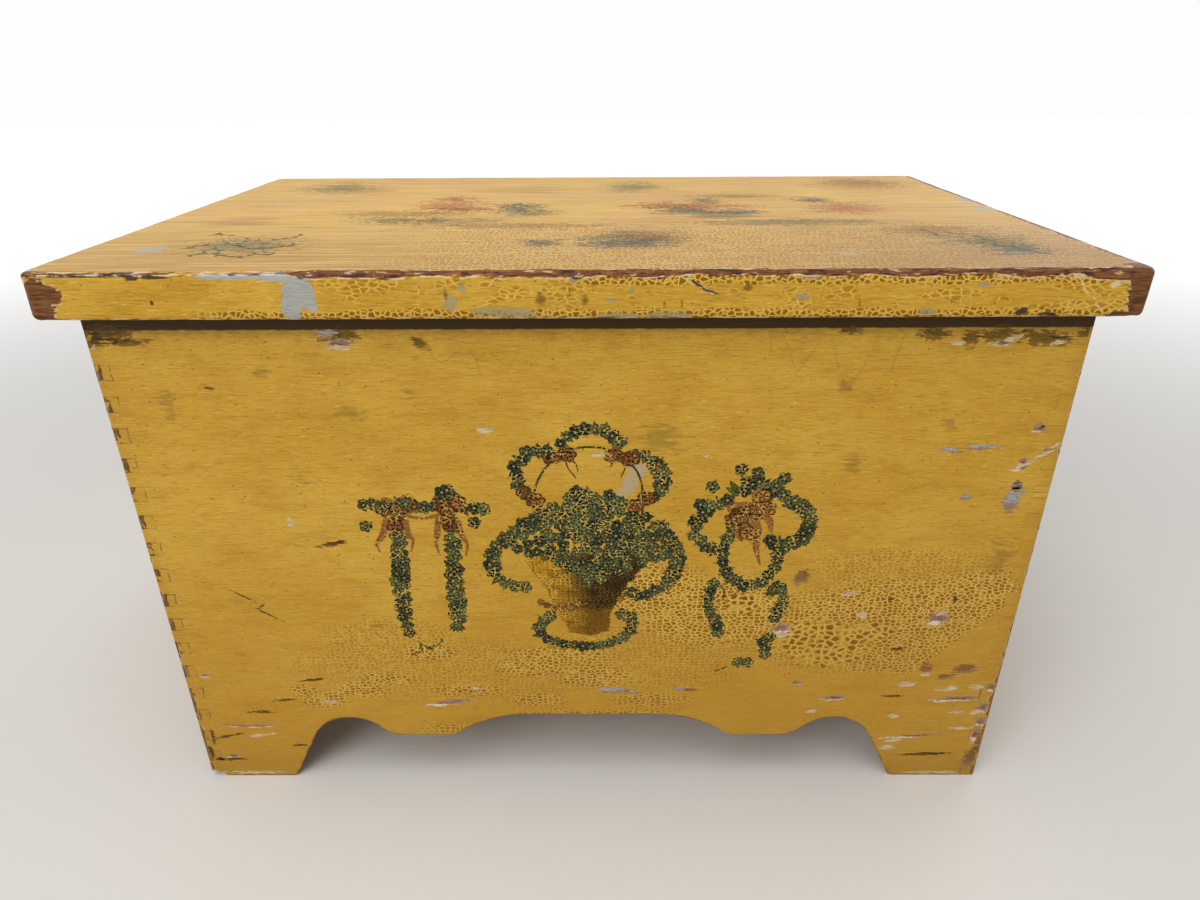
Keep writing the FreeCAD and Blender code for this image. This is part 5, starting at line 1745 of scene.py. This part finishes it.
def make_box():
    paints = {
        "front_board": box_paint("front_paint", 0, True),
        "back_board": box_paint("back_paint", 0),
        "left_end_board": box_paint("left_end_paint", 1),
        "right_end_board": box_paint("right_end_paint", 1),
    }
    for node, paint in paints.items():
        board = box_board(node, paint)
        if node == "left_end_board":
            break_left_foot(board)
    make_flakes(paints["front_board"])
    grain_x = pine("pine_along_x", 0)
    grain_y = pine("pine_along_y", 1)
    for node in ("front_floor_cleat", "rear_floor_cleat", "floor_front_plank", "floor_rear_plank"):
        eased(node, "chest", grain_x, CLEAT_ROUND)
    for side in ("left", "right"):
        eased(side + "_floor_cleat", "chest", grain_y, CLEAT_ROUND)
    for side in ("left", "right"):
        eased(side + "_lid_batten", "lid", grain_y, BATTEN_ROUND)


def make_flakes(front_paint):
    """The chips, dashes and nicks on the front, and the runs in its paint."""
    kinds = (
        ("chips_grey", GREY_CHIPS, 0.020, "chip_grey", UNDERCOAT, colour("#7F7A74"), MAUVE, 1.0),
        ("chips_mauve", MAUVE_CHIPS, 0.024, "chip_mauve", MAUVE, OLD_RED, CREAM, 1.0),
        ("chips_brown", BROWN_CHIPS, 0.028, "chip_brown", OLD_ORANGE, GREASE_AND_SHADE, MAUVE, 0.6),
        ("chips_cream", CREAM_CHIPS, 0.032, "chip_cream", CREAM, colour("#B98F50"), CREAM, 0.85),
        ("nicks_dark", DARK_NICKS, 0.036, "nick_dark", DIRT_AND_SHADE, GREASE_AND_SHADE, OCHRE_SHADOW, 0.75),
        ("grime_patches", GRIME_PATCHES, 0.016, "grime_patch", GREASE_AND_SHADE, DIRT_AND_SHADE, OCHRE_SHADOW, 0.6),
    )
    for name, marks, height, *look in kinds:
        flakes(name, BOX_FRONT, marks, height * MM, "chest", chip_finish(*look), "box_paint")
    runs = [(smooth_path(BOX_FRONT, run), RUN_WIDTHS, RUN_HEIGHT) for run in RUNS]
    paint_runs = joined_strips("paint_runs", BOX_FRONT, runs)
    store_zones(paint_runs, BOX_FRONT, FRONT_ZONES)
    store(paint_runs, "run", [1.0] * len(paint_runs.data.vertices))
    finished(paint_runs, "chest", front_paint, "box_paint")


def make_lid():
    paint = lid_paint("lid_paint")
    lid_plank("lid_front_plank", plank_low, plank_high, True, paint)
    lid_plank("lid_rear_plank", rear_plank_low, rear_plank_high, False, paint)


def make_ornament():
    ribbon = ornament_paint("ribbon_salmon", "#C08444", "#70401E", 1.0, 0.42, 0.85)
    finishes = {
        "leaves": ornament_paint("leaf_green", "#5A5E1E", "#28300F"),
        "shadows": ornament_paint("flower_outline", "#1E2A1C", "#141F18"),
        "petals": ornament_paint("petal_teal", "#6A7444", "#1E332C", rim=0.5),
        "hearts": ornament_paint("flower_heart", "#C9982E", "#A8702A"),
        "ribbons": ribbon,
        "ruffles": ribbon,
        "creases": ornament_paint("ribbon_crease", "#4A2C14", "#2C1A0E", 1.0, 0.42),
        "stems": ornament_paint("stem_green", "#4B4A20", "#2B2C18", rubbed=0.25),
    }
    left_swag().lay("left_swag", "chest", finishes, "box_paint")
    finished(basket_body(), "chest", basket_weave(), "box_paint")
    basket_posy().lay("basket_posy", "chest", finishes, "box_paint")
    wreath().lay("wreath", "chest", finishes, "box_paint")
    faded = {kind: faded_paint(name, "#5F6A4C", "#4A5640", 0.85)
             for kind, name in (("leaves", "faded_leaf"), ("stems", "faded_stem"))}
    lid_twigs().lay("lid_twigs", "lid", faded, "lid_paint")
    stains = (
        ("faded_green", FADED_GREEN, "#6F7550", "#565E42", 0.42),
        ("faded_slate", FADED_SLATE, "#646A58", "#46504A", 0.6),
        ("faded_rose", FADED_ROSE, "#C07850", "#B06448", 0.5),
        ("faded_umber", FADED_UMBER, "#8F6536", "#6A4A2C", 0.32),
    )
    for step, (name, marks, *look) in enumerate(stains, 1):
        finish = faded_paint(name + "_stain", *look)
        flakes(name, LID_FACE, marks, step * STAIN_STEP, "lid", finish, "lid_paint")


def make_metal():
    plain = steel("hinge_steel", colour("#8D8A83"), 0.42)
    bright = steel("fastener_steel", colour("#A29E95"), 0.36)
    for side in ("left", "right"):
        coat_nodes(plain, side + "_hinge_box_leaf", side + "_hinge_lid_leaf")
        coat_nodes(bright, side + "_hinge_pin")
    slotted_screws("hinge_box_screws", "chest", bright)
    slotted_screws("hinge_lid_screws", "lid", bright)
    coat_nodes(bright, "cleat_nails", "floor_nails", "batten_nails")


bpy.context.scene.view_settings.view_transform = "Standard"
view.camera()
stage()
make_box()
make_lid()
make_ornament()
make_metal()
